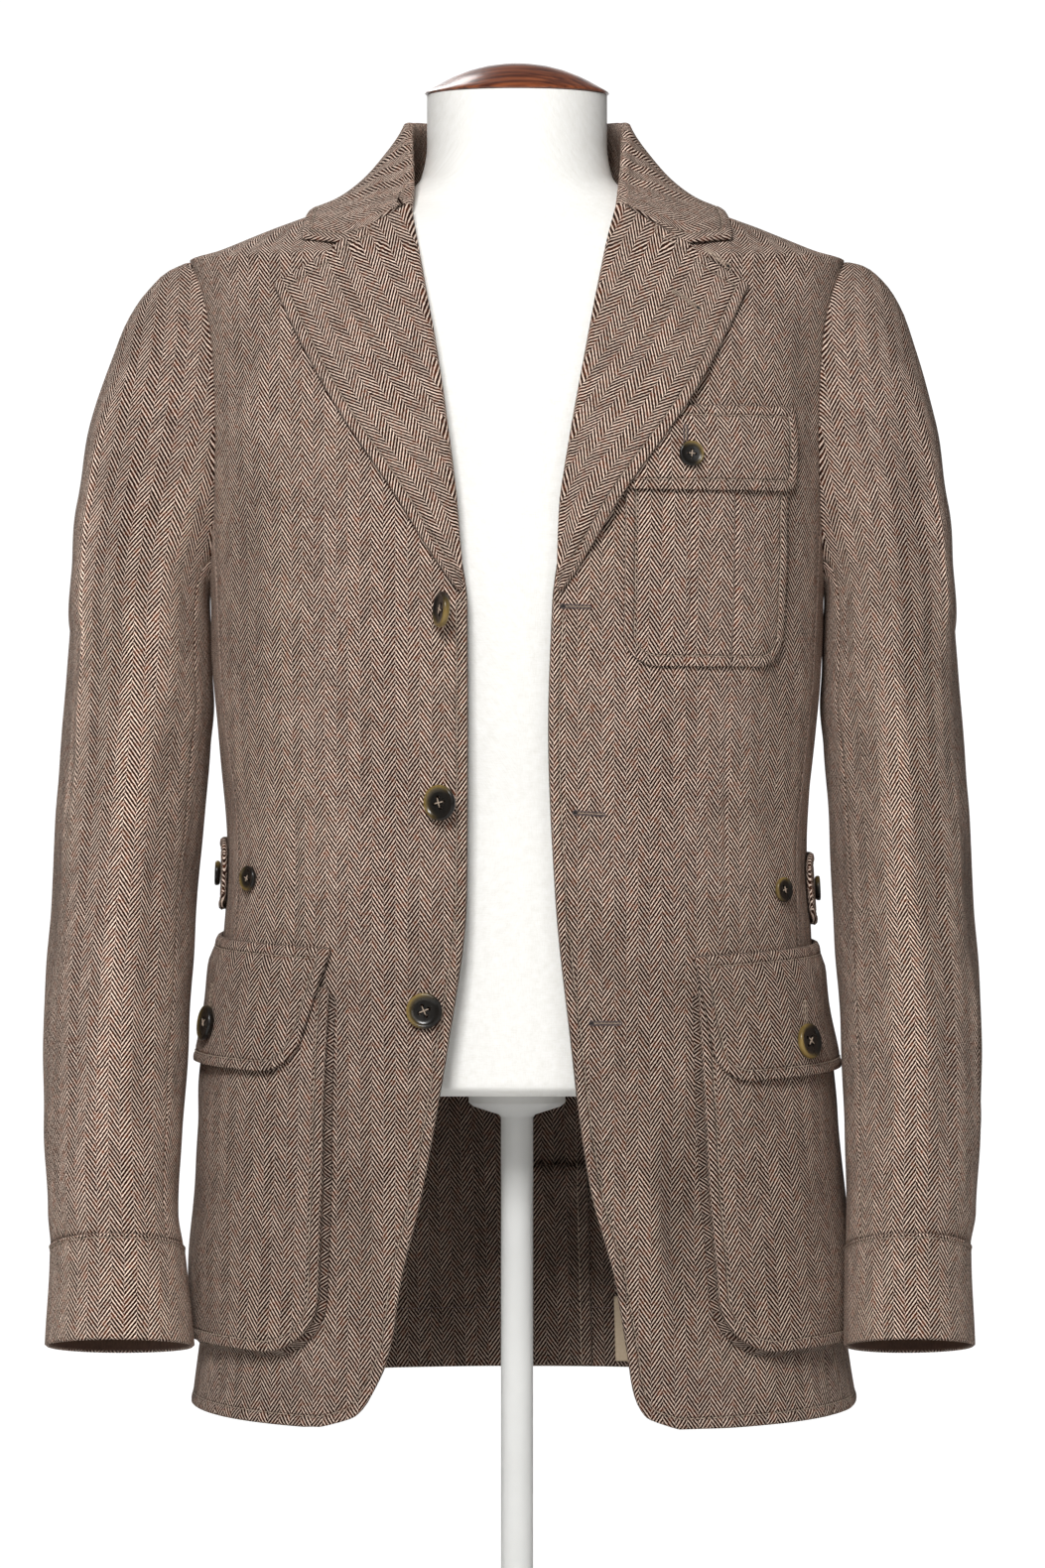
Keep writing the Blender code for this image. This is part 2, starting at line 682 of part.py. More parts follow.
def lapel_lift(side, z):
    """Extra height of the left lapel where it lies over the chest pocket and its flap."""
    ramp = 0.035
    rise = ease((z - CHEST_FLAP_LOW) / ramp + 1.4)
    fall = ease((CHEST_FLAP_HIGH - z) / ramp + 1.2)
    return LAPEL_STACK * rise * fall * (side > 0)


def lapel_line(roll, wall, reach, lift):
    """Middle line of a lapel's section: round the front's edge, then out over the front."""
    low = -CLOTH / 2
    start = LAPEL_ROOM - 4 * SEAM
    turns = np.radians((-90, -135, 180, 135, 90))
    fold = [(start + roll * math.cos(t), low + roll * (1 + math.sin(t))) for t in turns]
    top = low + 2 * roll
    share = np.linspace(0, 1, LAPEL_COLUMNS)
    settled = mix(LAPEL_LIE + wall / 2, top, (1 - share) ** 2) + lift * ease(share / 0.5)
    spread = np.stack([mix(start, reach, share), settled], axis=-1)
    return np.concatenate([fold, spread[1:]])


def make_lapel(side, name, material):
    """Turn the lapel over the front's edge and lay it on the front."""
    edge = EDGE_CURVES[side]
    outer, inner = [], []
    for share in np.linspace(0.02, 1, LAPEL_ROWS):
        z_in = mix(BREAK_HEIGHT, GORGE_HEIGHT, share)
        z_out = mix(BREAK_HEIGHT, LAPEL_TIP, share)
        x_in, x_out = edge(z_in), edge(z_out) + LAPEL_WIDTH(z_out)
        reach = math.hypot(x_out - x_in, z_out - z_in)
        grown = min(0.5 + 3 * share, 1)
        wall = DOUBLE * grown
        lift = lapel_lift(side, np.linspace(z_in, z_out, LAPEL_COLUMNS))
        line = lapel_line(LAPEL_ROLL * grown, wall, reach, lift)
        along = np.gradient(line, axis=0)
        step = unit(np.stack([-along[:, 1], along[:, 0]], axis=-1)) * wall / 2
        for rows, spots in ((outer, line - step), (inner, line + step)):
            gone = spots[:, 0] / reach
            z = mix(z_in, z_out, np.clip(gone, 0, 1))
            x = mix(x_in, x_out, gone)
            rows.append(body(side * angle_at_x(x, z), z, spots[:, 1]))
    return make_wall(name, np.array(outer), np.array(inner), material)


def on_shoulder(x, y, out):
    """Point of the shoulder above (x, y), moved out along its normal."""
    low, high = 0.80, 0.8945
    for _ in range(40):
        z = (low + high) / 2
        inside = section_level(BODY_CURVES, np.array([x, y, z])) < 1
        low, high = (z, high) if inside else (low, z)
    point = np.array([x, y, low])
    return point + body_normal(point) * out


def clear_of_body(point, out):
    """Move a point of the collar's fall off the body until it lies this far out."""
    for _ in range(4):
        if point[2] < SECTIONS[-1][0]:
            slope = body_slope(point)
            steep = np.linalg.norm(slope)
            gap = (section_level(BODY_CURVES, point) - 1) / steep
            point = point + slope / steep * max(out - gap, 0)
    return point


def collar_line(station):
    """Section of the collar at one station: neck seam, crease and outer edge of the fall."""
    row = [float(curve(station)) for curve in COLLAR_CURVES]
    seam, crease = np.array(row[0:3]), np.array(row[3:6])
    edge = on_shoulder(row[6], row[7], COLLAR_LIE + DOUBLE)
    sag = row[8]
    away = edge - crease
    away[2] = 0
    away = away / np.linalg.norm(away) * COLLAR_ROLL
    down = np.array([0, 0, -COLLAR_ROLL])
    stand_top, fall_top = crease - away + down, crease + away + down
    points = [seam, mix(seam, stand_top, 0.5), stand_top]
    points += [crease - 0.7 * away + 0.3 * down, crease, crease + 0.7 * away + 0.3 * down]
    near_end = min(max(station - len(COLLAR) + 2, 0), 1) ** 2
    for share, (x, z) in zip((0.0, 0.22, 0.48, 0.74, 1.0), COLLAR_END):
        dip = np.array([0, 0, sag * 4 * share * (1 - share)])
        on_front = body(angle_at_x(x, z), np.array(z), np.array(COLLAR_LIE + DOUBLE))
        spot = mix(mix(fall_top, edge, share) - dip, on_front, near_end)
        points.append(clear_of_body(spot, COLLAR_LIE + DOUBLE))
    return np.array(points)


def make_collar(material):
    stations = np.linspace(0, len(COLLAR) - 1, COLLAR_STATIONS)
    half = np.array([collar_line(station) for station in stations])
    mirrored = half[:0:-1] * np.array([-1, 1, 1])
    outer = np.concatenate([mirrored, half])
    inside = normals_of(outer)
    inside *= np.sign(inside[COLLAR_STATIONS - 1, 0, 1])
    return make_wall("collar", outer, outer + inside * DOUBLE, material)


def head_ring(turn_degrees, ring):
    """Ring of the sleeve head on a plane turned out round the underarm."""
    reach, inner_reach, front, back = (float(curve(turn_degrees)) for curve in HEAD_CURVES)
    turn = math.radians(turn_degrees)
    radius = mix(inner_reach, reach, (1 + np.cos(ring)) / 2)
    y = -np.where(np.sin(ring) > 0, front, back) * np.sin(ring)
    x = PIVOT_X + radius * math.sin(turn)
    z = PIVOT_Z + radius * math.cos(turn)
    hug = max(1 - turn_degrees / 30, 0) ** 2
    on_body = np.array([side_of_body(*spot) for spot in zip(y, z)]) + SEAM
    x = x + (on_body - PIVOT_X) * hug
    return np.stack([x, y, z], axis=-1)


def side_of_body(y, z):
    """How far out the side of the body is at a depth and height."""
    width, front, back, square = (float(curve(z)) for curve in BODY_CURVES)
    depth = front if y < 0 else back
    return width * (1 - min(abs(y) / depth, 1) ** square) ** (1 / square)


def arm_ring(height, ring):
    """Ring of the arm, tilted with the forearm."""
    x, y, half_width, half_depth, tilt = (float(curve(height)) for curve in ARM_CURVES)
    tilt = math.radians(tilt)
    front = half_depth * np.sin(ring)
    spots = (x + half_width * np.cos(ring), y - front * math.cos(tilt), height + front * math.sin(tilt))
    return np.stack(spots, axis=-1)


def sleeve_fold(ring, points):
    total = np.zeros(points.shape[:2])
    for middle, low, high, half, depth in SLEEVE_FOLDS:
        turn = (np.degrees(ring) - middle + 180) % 360 - 180
        total += depth * bump(turn, 0, half) * window(points[..., 2], low, high)
    return total


def hang(points):
    """Swing the arm sideways, more and more away from the body."""
    share = np.clip((np.abs(points[..., :1]) - ARM_SWAY_NEAR) / (ARM_SWAY_FAR - ARM_SWAY_NEAR), 0, 1)
    return points + ARM_SWAY * share * np.array([1, 0, 0])


def make_sleeve(side, names, cloth):
    ring = np.linspace(0, 2 * math.pi, RING_POINTS, endpoint=False)
    head = [head_ring(row[0], ring) for row in SLEEVE_HEAD]
    arm = [arm_ring(height, ring) for height in ARM_ROWS]
    grid = np.array(head + arm)
    out = normals_of(grid, closed=True)
    out *= np.sign(out[4, 0, 0])
    grid = grid + out * sleeve_fold(ring, grid)[..., None]
    inner = grid - out * CLOTH
    mirror = np.array([side, 1, 1])
    under = np.arange(UNDER_FIRST, UNDER_LAST + 1)
    upper = np.arange(UNDER_LAST, UNDER_FIRST + 1 + RING_POINTS) % RING_POINTS
    for name, columns in zip(names, (upper, under)):
        walls = [hang(trim(face[:, columns], "first_column", "last_column") * mirror) for face in (grid, inner)]
        make_wall(name, *walls, cloth)


def make_cuff(side, name, cloth):
    ring = np.linspace(0, 2 * math.pi, RING_POINTS, endpoint=False)
    grid = np.array([arm_ring(height, ring) for height in CUFF_ROWS])
    out = normals_of(grid, closed=True)
    out *= np.sign(out[0, 0, 0])
    mirror = np.array([side, 1, 1])
    outer, inner = grid + out * CUFF_PROUD, grid + out * (CUFF_PROUD - DOUBLE)
    return make_wall(name, hang(outer * mirror), hang(inner * mirror), cloth, closed=True)


def patch(start, width, low, high, corner, rows, columns, slant=0.0):
    """Angles, heights and distances of a patch on the body with round lower corners."""
    lifts = np.concatenate([corner * (1 - np.cos(np.linspace(0, math.pi / 2, 5))),
                            np.linspace(corner, high - low, rows - 3)[1:]])
    angles, heights, along = [], [], []
    for lift in lifts:
        cut = max(corner - lift, 0)
        inset = corner - math.sqrt(corner ** 2 - cut ** 2) + slant * (1 - lift / (high - low))
        distance = np.linspace(inset, width - inset, columns)
        angles.append(angle_along(start, distance, low + lift))
        heights.append(np.full(columns, low + lift))
        along.append(distance)
    return np.array(angles), np.array(heights), np.array(along)


def make_patch(name, side, angles, heights, under, wall, material, rise=0.0, dip=0.0):
    """Add a layer of cloth on the body from its points, moved out and let down by a dip."""
    outer = body(side * angles, heights - dip, under + wall + rise)
    inner = body(side * angles, heights - dip, under)
    return make_wall(name, outer, inner, material)


def chest_flap_under(heights, over_pleat):
    """How far out the underside of the chest flap lies."""
    share = np.clip((CHEST_FLAP_HIGH - heights) / CHEST_FLAP_SETTLE, 0, 1)
    return LIE + share * (CHEST_WALL + LIE + 1.5 * PLEAT_RISE * over_pleat)


def make_chest_pocket(cloth):
    start = float(angle_at_x(CHEST_X, (CHEST_LOW + CHEST_HIGH) / 2))
    angles, heights, along = patch(start, CHEST_WIDTH, CHEST_LOW, CHEST_HIGH, CHEST_CORNER, 10, 11)
    pleat = PLEAT_RISE * (np.abs(along - CHEST_WIDTH / 2) < PLEAT_HALF)
    under = np.full_like(heights, LIE)
    make_patch("chest_pocket", 1, angles, heights, under, CHEST_WALL, cloth, pleat)
    start = float(angle_at_x(CHEST_FLAP_X, CHEST_FLAP_HIGH))
    flap = (CHEST_FLAP_WIDTH, CHEST_FLAP_LOW, CHEST_FLAP_HIGH)
    angles, heights, along = patch(start, *flap, CHEST_FLAP_CORNER, 8, 10)
    under = chest_flap_under(heights, bump(along, CHEST_FLAP_WIDTH / 2, 2 * PLEAT_HALF))
    make_patch("chest_flap", 1, angles, heights, under, CHEST_FLAP_WALL, cloth)


def hip_dip(along):
    """How far a hip pocket is let down at a distance from its front edge."""
    return HIP_DIP * (1 - along / HIP_WIDTH)


def hip_flap_under(heights):
    """How far out the underside of a hip flap lies."""
    share = np.clip((HIP_FLAP_HIGH - heights) / HIP_FLAP_SETTLE, 0, 1)
    return LIE + share * (HIP_DEPTH(heights) + CLOTH + LIE)


def make_hip_pocket(side, word, cloth):
    angles, heights, along = patch(HIP_ANGLE[side], HIP_WIDTH, HIP_LOW, HIP_HIGH, HIP_CORNER, 9, 11)
    under = LIE + HIP_DEPTH(heights)
    make_patch("hip_pocket_" + word, side, angles, heights, under, CLOTH, cloth, dip=hip_dip(along))
    make_gusset(side, "hip_gusset_" + word, cloth)
    flap = (HIP_FLAP_WIDTH[side], HIP_FLAP_LOW, HIP_FLAP_HIGH)
    angles, heights, along = patch(HIP_FLAP_ANGLE[side], *flap, HIP_FLAP_CORNER, 7, 11, HIP_FLAP_SLANT[side])
    under = hip_flap_under(heights)
    drop = hip_dip(along) + HIP_FLAP_DROP[side]
    make_patch("hip_flap_" + word, side, angles, heights, under, DOUBLE, cloth, dip=drop)


def pocket_outline(spread):
    """Distances and heights along the sides and foot of a hip pocket, moved out by a spread."""
    radius = HIP_CORNER + spread
    left, right = HIP_CORNER, HIP_WIDTH - HIP_CORNER
    foot = HIP_LOW + HIP_CORNER
    turns = np.linspace(0, math.pi / 2, 5)
    sides = np.linspace(HIP_HIGH - 0.004, foot, 7)
    spots = [(-spread, z) for z in sides[:-1]]
    spots += [(left - radius * math.cos(t), foot - radius * math.sin(t)) for t in turns]
    spots += [(x, HIP_LOW - spread) for x in np.linspace(left, right, 7)[1:-1]]
    spots += [(right + radius * math.sin(t), foot - radius * math.cos(t)) for t in turns]
    spots += [(HIP_WIDTH + spread, z) for z in sides[-2::-1]]
    return np.array(spots)


def make_gusset(side, name, cloth):
    """Strip of cloth between the front and the edge of a hip pocket."""
    faces = []
    for inset in (0.0, GUSSET_WALL):
        rows = []
        for share in (0.0, 0.35, 0.7, 1.0):
            spots = pocket_outline(GUSSET_SPREAD * (1 - share) ** 2 - inset)
            first = HIP_ANGLE[side]
            angles = np.array([angle_along(first, x, z) if x >= 0 else
                               2 * first - angle_along(first, -x, z) for x, z in spots])
            out = LIE + (HIP_DEPTH(spots[:, 1]) - SEAM - LIE) * share
            rows.append(body(side * angles, spots[:, 1] - hip_dip(spots[:, 0]), out))
        faces.append(np.array(rows))
    return make_wall(name, *faces, cloth)


def make_tab(side, name, cloth):
    length = np.linspace(0, TAB_LENGTH, 7)
    half = TAB_HEIGHT / 2
    shares = np.linspace(-1, 1, 6)
    angles, heights = [], []
    for distance in length:
        cut = max(TAB_CORNER - distance, 0)
        tall = half - TAB_CORNER + math.sqrt(TAB_CORNER ** 2 - cut ** 2)
        z = TAB_MIDDLE[side] + tall * shares
        angles.append([float(angle_along(TAB_ANGLE, distance, height)) for height in z])
        heights.append(z)
    angles, heights = np.array(angles), np.array(heights)
    make_patch(name, side, angles, heights, np.full_like(heights, TAB_LIE), DOUBLE, cloth)


def make_button(name, spot, facing, diameter, horn):
    """Add a dished button with its back on a spot."""
    radius = diameter / 2
    profile = [(radius * r, diameter * h) for r, h in BUTTON_PROFILE]
    button = make_turned(name, profile, horn, tip=diameter * 0.15, sides=BUTTON_SIDES)
    button.location = spot
    button.rotation_euler = Vector(facing).to_track_quat("Z", "Y").to_euler()
    return button


def layer_top(layer, side, z):
    """How far out the top of a layer lies from the body at each height."""
    drop = hip_dip(HIP_FLAP_WIDTH[side] / 2) + HIP_FLAP_DROP[side]
    tops = {"front": np.full_like(z, SEAM),
            "tab": np.full_like(z, TAB_LIE + DOUBLE),
            "hip_flap": hip_flap_under(z + drop) + DOUBLE,
            "chest_flap": chest_flap_under(z, 1.0) + CHEST_FLAP_WALL}
    return tops[layer]


def sew_button(name, side, angle, z, diameter, layer, horn):
    """Sew a button flat on a layer."""
    turn, rise = 0.03, 0.004
    angles = side * (angle + np.array([0, -turn, turn, 0, 0]))
    heights = z + np.array([0, 0, 0, -rise, rise])
    spots = body(angles, heights, layer_top(layer, side, heights) + BUTTON_LIE)
    facing = unit(np.cross(spots[2] - spots[1], spots[4] - spots[3])) * side
    return make_button(name, spots[0], facing, diameter, horn)


def make_loose_button(horn):
    """The top button stands on its edge beside the lapel."""
    z = np.array(LOOSE_BUTTON_Z)
    angle = -angle_at_x(LOOSE_BUTTON_X, z)
    lean = LOOSE_BUTTON_LEAN
    normal = body_normal(section_point(BODY_CURVES, angle, z))
    facing = normal * math.cos(lean) + np.array([-1, 0, 0.1]) * math.sin(lean)
    spot = body(angle, z, np.array(LOOSE_BUTTON_OUT))
    return make_button("front_button_1", spot, facing, BIG_BUTTON, horn)


def make_buttons(horn):
    make_loose_button(horn)
    for name, side, angle, z, diameter, layer in SEWN_BUTTONS:
        sew_button(name, side, math.radians(angle), z, diameter, layer, horn)


def make_form(linen, wood, paint):
    """Smooth torso with a neck, its cap, and a pole on a round foot."""
    turns = np.linspace(0, 2 * math.pi, FORM_SIDES, endpoint=False)
    rings = [section_point(FORM_CURVES, turns, np.full_like(turns, z)) for z in FORM_ROWS]
    make_rings("form_torso", np.array(rings), linen)
    make_turned("form_cap", CAP_PROFILE, wood, tip=CAP_TOP)
    make_turned("form_pole", POLE_PROFILE, paint)
    make_turned("form_base", BASE_PROFILE, paint)


def main():
    for thing in list(bpy.data.objects):
        bpy.data.objects.remove(thing)
    tweed = make_material("tweed", (0.150, 0.092, 0.060), 0.9)
    horn = make_material("horn", (0.035, 0.028, 0.022), 0.35)
    linen = make_material("linen", (0.78, 0.74, 0.68), 0.85)
    wood = make_material("mahogany", (0.090, 0.022, 0.010), 0.3)
    paint = make_material("white_paint", (0.75, 0.75, 0.74), 0.4)
    make_form(linen, wood, paint)
    for side, word in ((-1, "right"), (1, "left")):
        make_front(side, "front_" + word, tweed)
        make_side(side, "side_" + word, tweed)
        make_back(side, "back_" + word, tweed)
        make_lapel(side, "lapel_" + word, tweed)
        make_sleeve(side, ("upper_sleeve_" + word, "under_sleeve_" + word), tweed)
        make_cuff(side, "cuff_" + word, tweed)
        make_hip_pocket(side, word, tweed)
        make_tab(side, "waist_tab_" + word, tweed)
    make_vent_underlap(tweed)
    make_collar(tweed)
    make_chest_pocket(tweed)
    make_buttons(horn)


main()
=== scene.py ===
"""Dressed scene of a tweed safari jacket hung open on a limbless dress form.

Metres, +Z up, in the part's own frame: the front faces -Y and +X is the wearer's left.
"""
import math

import bmesh
import bpy
import numpy as np
from mathutils import Matrix, Vector


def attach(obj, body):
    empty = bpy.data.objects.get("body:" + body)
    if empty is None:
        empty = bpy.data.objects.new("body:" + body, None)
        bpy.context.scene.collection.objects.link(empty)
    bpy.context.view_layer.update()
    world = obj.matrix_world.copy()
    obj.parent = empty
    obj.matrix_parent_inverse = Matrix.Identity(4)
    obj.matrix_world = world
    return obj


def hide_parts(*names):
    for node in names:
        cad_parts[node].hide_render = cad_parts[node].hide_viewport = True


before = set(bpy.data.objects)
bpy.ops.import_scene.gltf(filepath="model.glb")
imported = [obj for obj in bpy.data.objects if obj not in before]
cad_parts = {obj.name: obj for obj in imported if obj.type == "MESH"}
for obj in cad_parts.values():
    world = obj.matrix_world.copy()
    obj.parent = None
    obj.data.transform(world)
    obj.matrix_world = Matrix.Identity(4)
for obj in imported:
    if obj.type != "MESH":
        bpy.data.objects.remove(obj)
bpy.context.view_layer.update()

# Camera at the photograph's place
PHOTO_HEIGHT = 1580
FOCAL_PIXELS = 8100
SENSOR_MM = 36
CAMERA_PLACE = (0.0034, -5.0, 0.527)

# Cloth and seams, as in the part's source
CLOTH = 0.0020
DOUBLE = 0.0028
SEAM = 0.0003
LIE = 0.0009
SEAM_ALLOWANCE = 0.010
SEAM_CALM = 0.030             # folds die out this close to the sleeve's head
HEAD_TUCK, HEAD_TUCK_WIDTH = 0.0012, 0.0014   # the sleeve's head is let in behind the armhole's edge

SECTIONS = (
    # height, half_width, front_depth, back_depth, squareness
    (0.120, 0.2110, 0.1280, 0.1250, 2.5),
    (0.180, 0.2010, 0.1270, 0.1240, 2.5),
    (0.300, 0.1895, 0.1220, 0.1180, 2.5),
    (0.400, 0.1845, 0.1160, 0.1080, 2.5),
    (0.490, 0.1800, 0.1130, 0.1000, 2.5),
    (0.560, 0.1858, 0.1160, 0.1030, 2.6),
    (0.600, 0.1892, 0.1185, 0.1065, 2.65),
    (0.640, 0.1903, 0.1210, 0.1100, 2.7),
    (0.700, 0.1920, 0.1220, 0.1160, 2.7),
    (0.760, 0.1950, 0.1170, 0.1170, 2.6),
    (0.810, 0.1990, 0.1050, 0.1090, 2.4),
    (0.845, 0.2035, 0.0890, 0.0980, 2.2),
    (0.852, 0.2035, 0.0860, 0.0960, 2.2),
    (0.858, 0.1860, 0.0830, 0.0937, 2.1),
    (0.867, 0.1635, 0.0785, 0.0903, 2.05),
    (0.876, 0.1415, 0.0730, 0.0870, 2.0),
    (0.8945, 0.0780, 0.0540, 0.0745, 2.0),
)

# Largest hanging folds, which the solids have too
FOLDS = (
    # across, low, high, half_width, depth, face (-1 front, 1 back)
    (0.100, 0.170, 0.350, 0.013, -0.0040, -1),
    (-0.098, 0.160, 0.330, 0.014, -0.0030, -1),
    (0.166, 0.520, 0.760, 0.013, -0.0035, -1),
    (-0.168, 0.530, 0.770, 0.013, -0.0035, -1),
    (0.120, 0.160, 0.420, 0.022, 0.0035, 1),
    (-0.110, 0.160, 0.400, 0.024, 0.0035, 1),
    (0.140, 0.560, 0.760, 0.016, -0.0040, 1),
    (-0.142, 0.560, 0.770, 0.016, -0.0040, 1),
)

# Smaller creases and darts on the body, from one end to the other
CREASES = (
    # x_0, z_0, x_1, z_1, half_width, depth, face
    (-0.158, 0.812, -0.180, 0.745, 0.0090, -0.0022, -1),
    (-0.148, 0.800, -0.166, 0.735, 0.0100, 0.0014, -1),
    (0.176, 0.800, 0.184, 0.735, 0.0090, -0.0022, -1),
    (-0.135, 0.512, -0.135, 0.427, 0.0020, -0.0011, -1),
    (0.128, 0.588, 0.128, 0.427, 0.0020, -0.0011, -1),
    (-0.120, 0.560, -0.100, 0.440, 0.0140, 0.0012, -1),
    (-0.085, 0.590, -0.070, 0.470, 0.0160, -0.0012, -1),
    (0.090, 0.575, 0.085, 0.450, 0.0160, -0.0012, -1),
    (0.150, 0.560, 0.160, 0.470, 0.0100, -0.0014, -1),
    (-0.160, 0.560, -0.168, 0.480, 0.0100, -0.0014, -1),
    (0.086, 0.330, 0.096, 0.190, 0.0060, -0.0022, -1),
    (0.078, 0.320, 0.084, 0.170, 0.0100, 0.0016, -1),
    (-0.085, 0.300, -0.080, 0.170, 0.0120, 0.0012, -1),
    (-0.130, 0.182, -0.120, 0.140, 0.0100, 0.0010, -1),
    (0.140, 0.180, 0.150, 0.140, 0.0120, 0.0014, -1),
    (0.060, 0.820, 0.110, 0.800, 0.0100, 0.0012, 1),
    (-0.060, 0.822, -0.110, 0.802, 0.0100, 0.0012, 1),
    (0.090, 0.520, 0.150, 0.470, 0.0120, -0.0016, 1),
    (-0.085, 0.525, -0.150, 0.480, 0.0120, -0.0016, 1),
    (0.050, 0.470, 0.110, 0.440, 0.0110, -0.0012, 1),
    (-0.040, 0.465, -0.110, 0.430, 0.0110, -0.0012, 1),
    (0.060, 0.300, 0.075, 0.165, 0.0150, -0.0022, 1),
    (-0.055, 0.300, -0.070, 0.165, 0.0150, -0.0022, 1),
)

DART_X = {-1: 0.135, 1: 0.128}
DART_SHARE = 0.66             # column of the front that follows its dart
DART_TOP = 0.600
DART_PULL_OVER, DART_PULL_FADE = 0.04, 0.06
DART_COLUMNS = np.array((-0.022, -0.015, -0.010, -0.006, 0, 0.006, 0.010, 0.015, 0.022))
SKIRT_SWAY = 0.0045
SKIRT_SWAY_TOP, SKIRT_SWAY_LOW = 0.340, 0.150
HEM_FRONT = 0.1345
HEM_BACK = 0.1570
HEM_TURN_UP = 0.040
TURN_UP_WALL = 0.0012

FRONT_EDGE = (
    # height, right_x, left_x
    (0.1345, 0.1295, 0.0955),
    (0.1430, 0.1035, 0.0745),
    (0.1580, 0.0923, 0.0672),
    (0.1800, 0.0823, 0.0642),
    (0.2270, 0.0732, 0.0573),
    (0.2800, 0.0594, 0.0441),
    (0.3650, 0.0430, 0.0340),
    (0.4600, 0.0312, 0.0240),
    (0.5600, 0.0305, 0.0198),
    (0.6360, 0.0308, 0.0222),
    (0.6930, 0.0365, 0.0262),
    (0.7385, 0.0420, 0.0330),
    (0.7880, 0.0490, 0.0420),
    (0.8355, 0.0575, 0.0510),
    (0.8720, 0.0640, 0.0590),
    (0.8840, 0.0660, 0.0630),
    (0.8935, 0.0745, 0.0745),
)

FRONT_SEAM_HEM, FRONT_SEAM_TOP = math.radians(64), math.radians(76)
BACK_SEAM_HEM, BACK_SEAM_TOP = math.radians(122), math.radians(108)
ARMHOLE_LOW = 0.6450
SHOULDER_TIP = 0.8520
NECK_ROW = 0.8935
ARMHOLE_FRONT = 0.050
ARMHOLE_BACK = 0.060
ARMHOLE_MID = (ARMHOLE_LOW + SHOULDER_TIP) / 2
ARMHOLE_HALF = (SHOULDER_TIP - ARMHOLE_LOW) / 2

# Lapels
BREAK_HEIGHT = 0.640
GORGE_HEIGHT = 0.880
LAPEL_TIP = 0.832
LAPEL_ROLL = 0.0027
LAPEL_ROOM = 0.0040
LAPEL_LIE = 0.0012
LAPEL_STACK = 0.0055
LAPEL_LENGTH = 0.275
LAPEL_WIDTHS = (
    # height, width
    (0.640, 0.0020),
    (0.660, 0.0140),
    (0.705, 0.0365),
    (0.750, 0.0610),
    (0.790, 0.0780),
    (0.832, 0.0905),
)

# Collar, from the centre back round to the end at the gorge
COLLAR_ROLL = 0.0036
COLLAR_LIE = 0.0008
COLLAR = (
    # seam_x, seam_y, seam_z, crease_x, crease_y, crease_z, edge_x, edge_y, sag
    (0.0000, 0.0735, 0.8940, 0.0000, 0.0750, 0.9430, 0.0000, 0.0850, 0.002),
    (0.0550, 0.0520, 0.8940, 0.0500, 0.0540, 0.9420, 0.0680, 0.0730, 0.002),
    (0.0765, 0.0000, 0.8940, 0.0680, 0.0000, 0.9380, 0.1250, 0.0060, 0.009),
    (0.0685, -0.0310, 0.8920, 0.0670, -0.0310, 0.9140, 0.1290, -0.0300, 0.002),
    (0.0650, -0.0520, 0.8795, 0.0640, -0.0555, 0.8850, 0.1320, -0.0470, 0.000),
)
COLLAR_SLIDE = {-1: 0.0035, 1: 0.0}       # the right end sits further out, at its front's wider edge
COLLAR_END = (
    # x, height
    (0.0680, 0.8800),
    (0.0800, 0.8726),
    (0.0925, 0.8649),
    (0.1030, 0.8584),
    (0.1310, 0.8610),
)

# Sleeves
PIVOT_X, PIVOT_Z = 0.186, 0.622
SLEEVE_HEAD = (
    # turn_degrees, reach, inner_reach, front_depth, back_depth
    (0.0, 0.2300, 0.0230, 0.0500, 0.0600),
    (4.0, 0.2285, 0.0215, 0.0530, 0.0625),
    (9.0, 0.2200, 0.0205, 0.0555, 0.0650),
    (14.0, 0.2065, 0.0190, 0.0570, 0.0665),
    (20.0, 0.1845, 0.0170, 0.0585, 0.0680),
    (30.0, 0.1535, 0.0145, 0.0600, 0.0690),
    (46.0, 0.1170, 0.0110, 0.0615, 0.0690),
    (67.0, 0.0960, 0.0075, 0.0625, 0.0685),
    (90.0, 0.0890, 0.0050, 0.0630, 0.0680),
)
SLEEVE_ARM = (
    # height, centre_x, centre_y, half_width, half_depth, forward_tilt_degrees
    (0.6220, 0.2330, 0.0025, 0.0420, 0.0655, 0.0),
    (0.5600, 0.2355, 0.0030, 0.0445, 0.0645, 0.0),
    (0.5000, 0.2395, 0.0010, 0.0455, 0.0625, 1.5),
    (0.4400, 0.2430, -0.0040, 0.0450, 0.0600, 4.0),
    (0.3800, 0.2465, -0.0165, 0.0440, 0.0570, 8.0),
    (0.3200, 0.2472, -0.0310, 0.0424, 0.0540, 11.0),
    (0.2420, 0.2454, -0.0520, 0.0400, 0.0505, 13.0),
    (0.1830, 0.2440, -0.0680, 0.0396, 0.0490, 13.0),
)
# How far each sleeve's crown stands out or sinks: -1 the wearer's right, 1 the left
CROWN_DROP = {
    # turn_degrees, reach
    -1: ((0, 0.0), (4, -0.0034), (9, -0.0056), (14, -0.0058), (20, -0.0042), (30, -0.0012), (46, 0.0),
         (90, 0.0)),
    1: ((0, 0.0), (4, -0.0004), (9, 0.0008), (14, 0.0020), (20, 0.0012), (30, 0.0), (46, 0.0), (90, 0.0)),
}
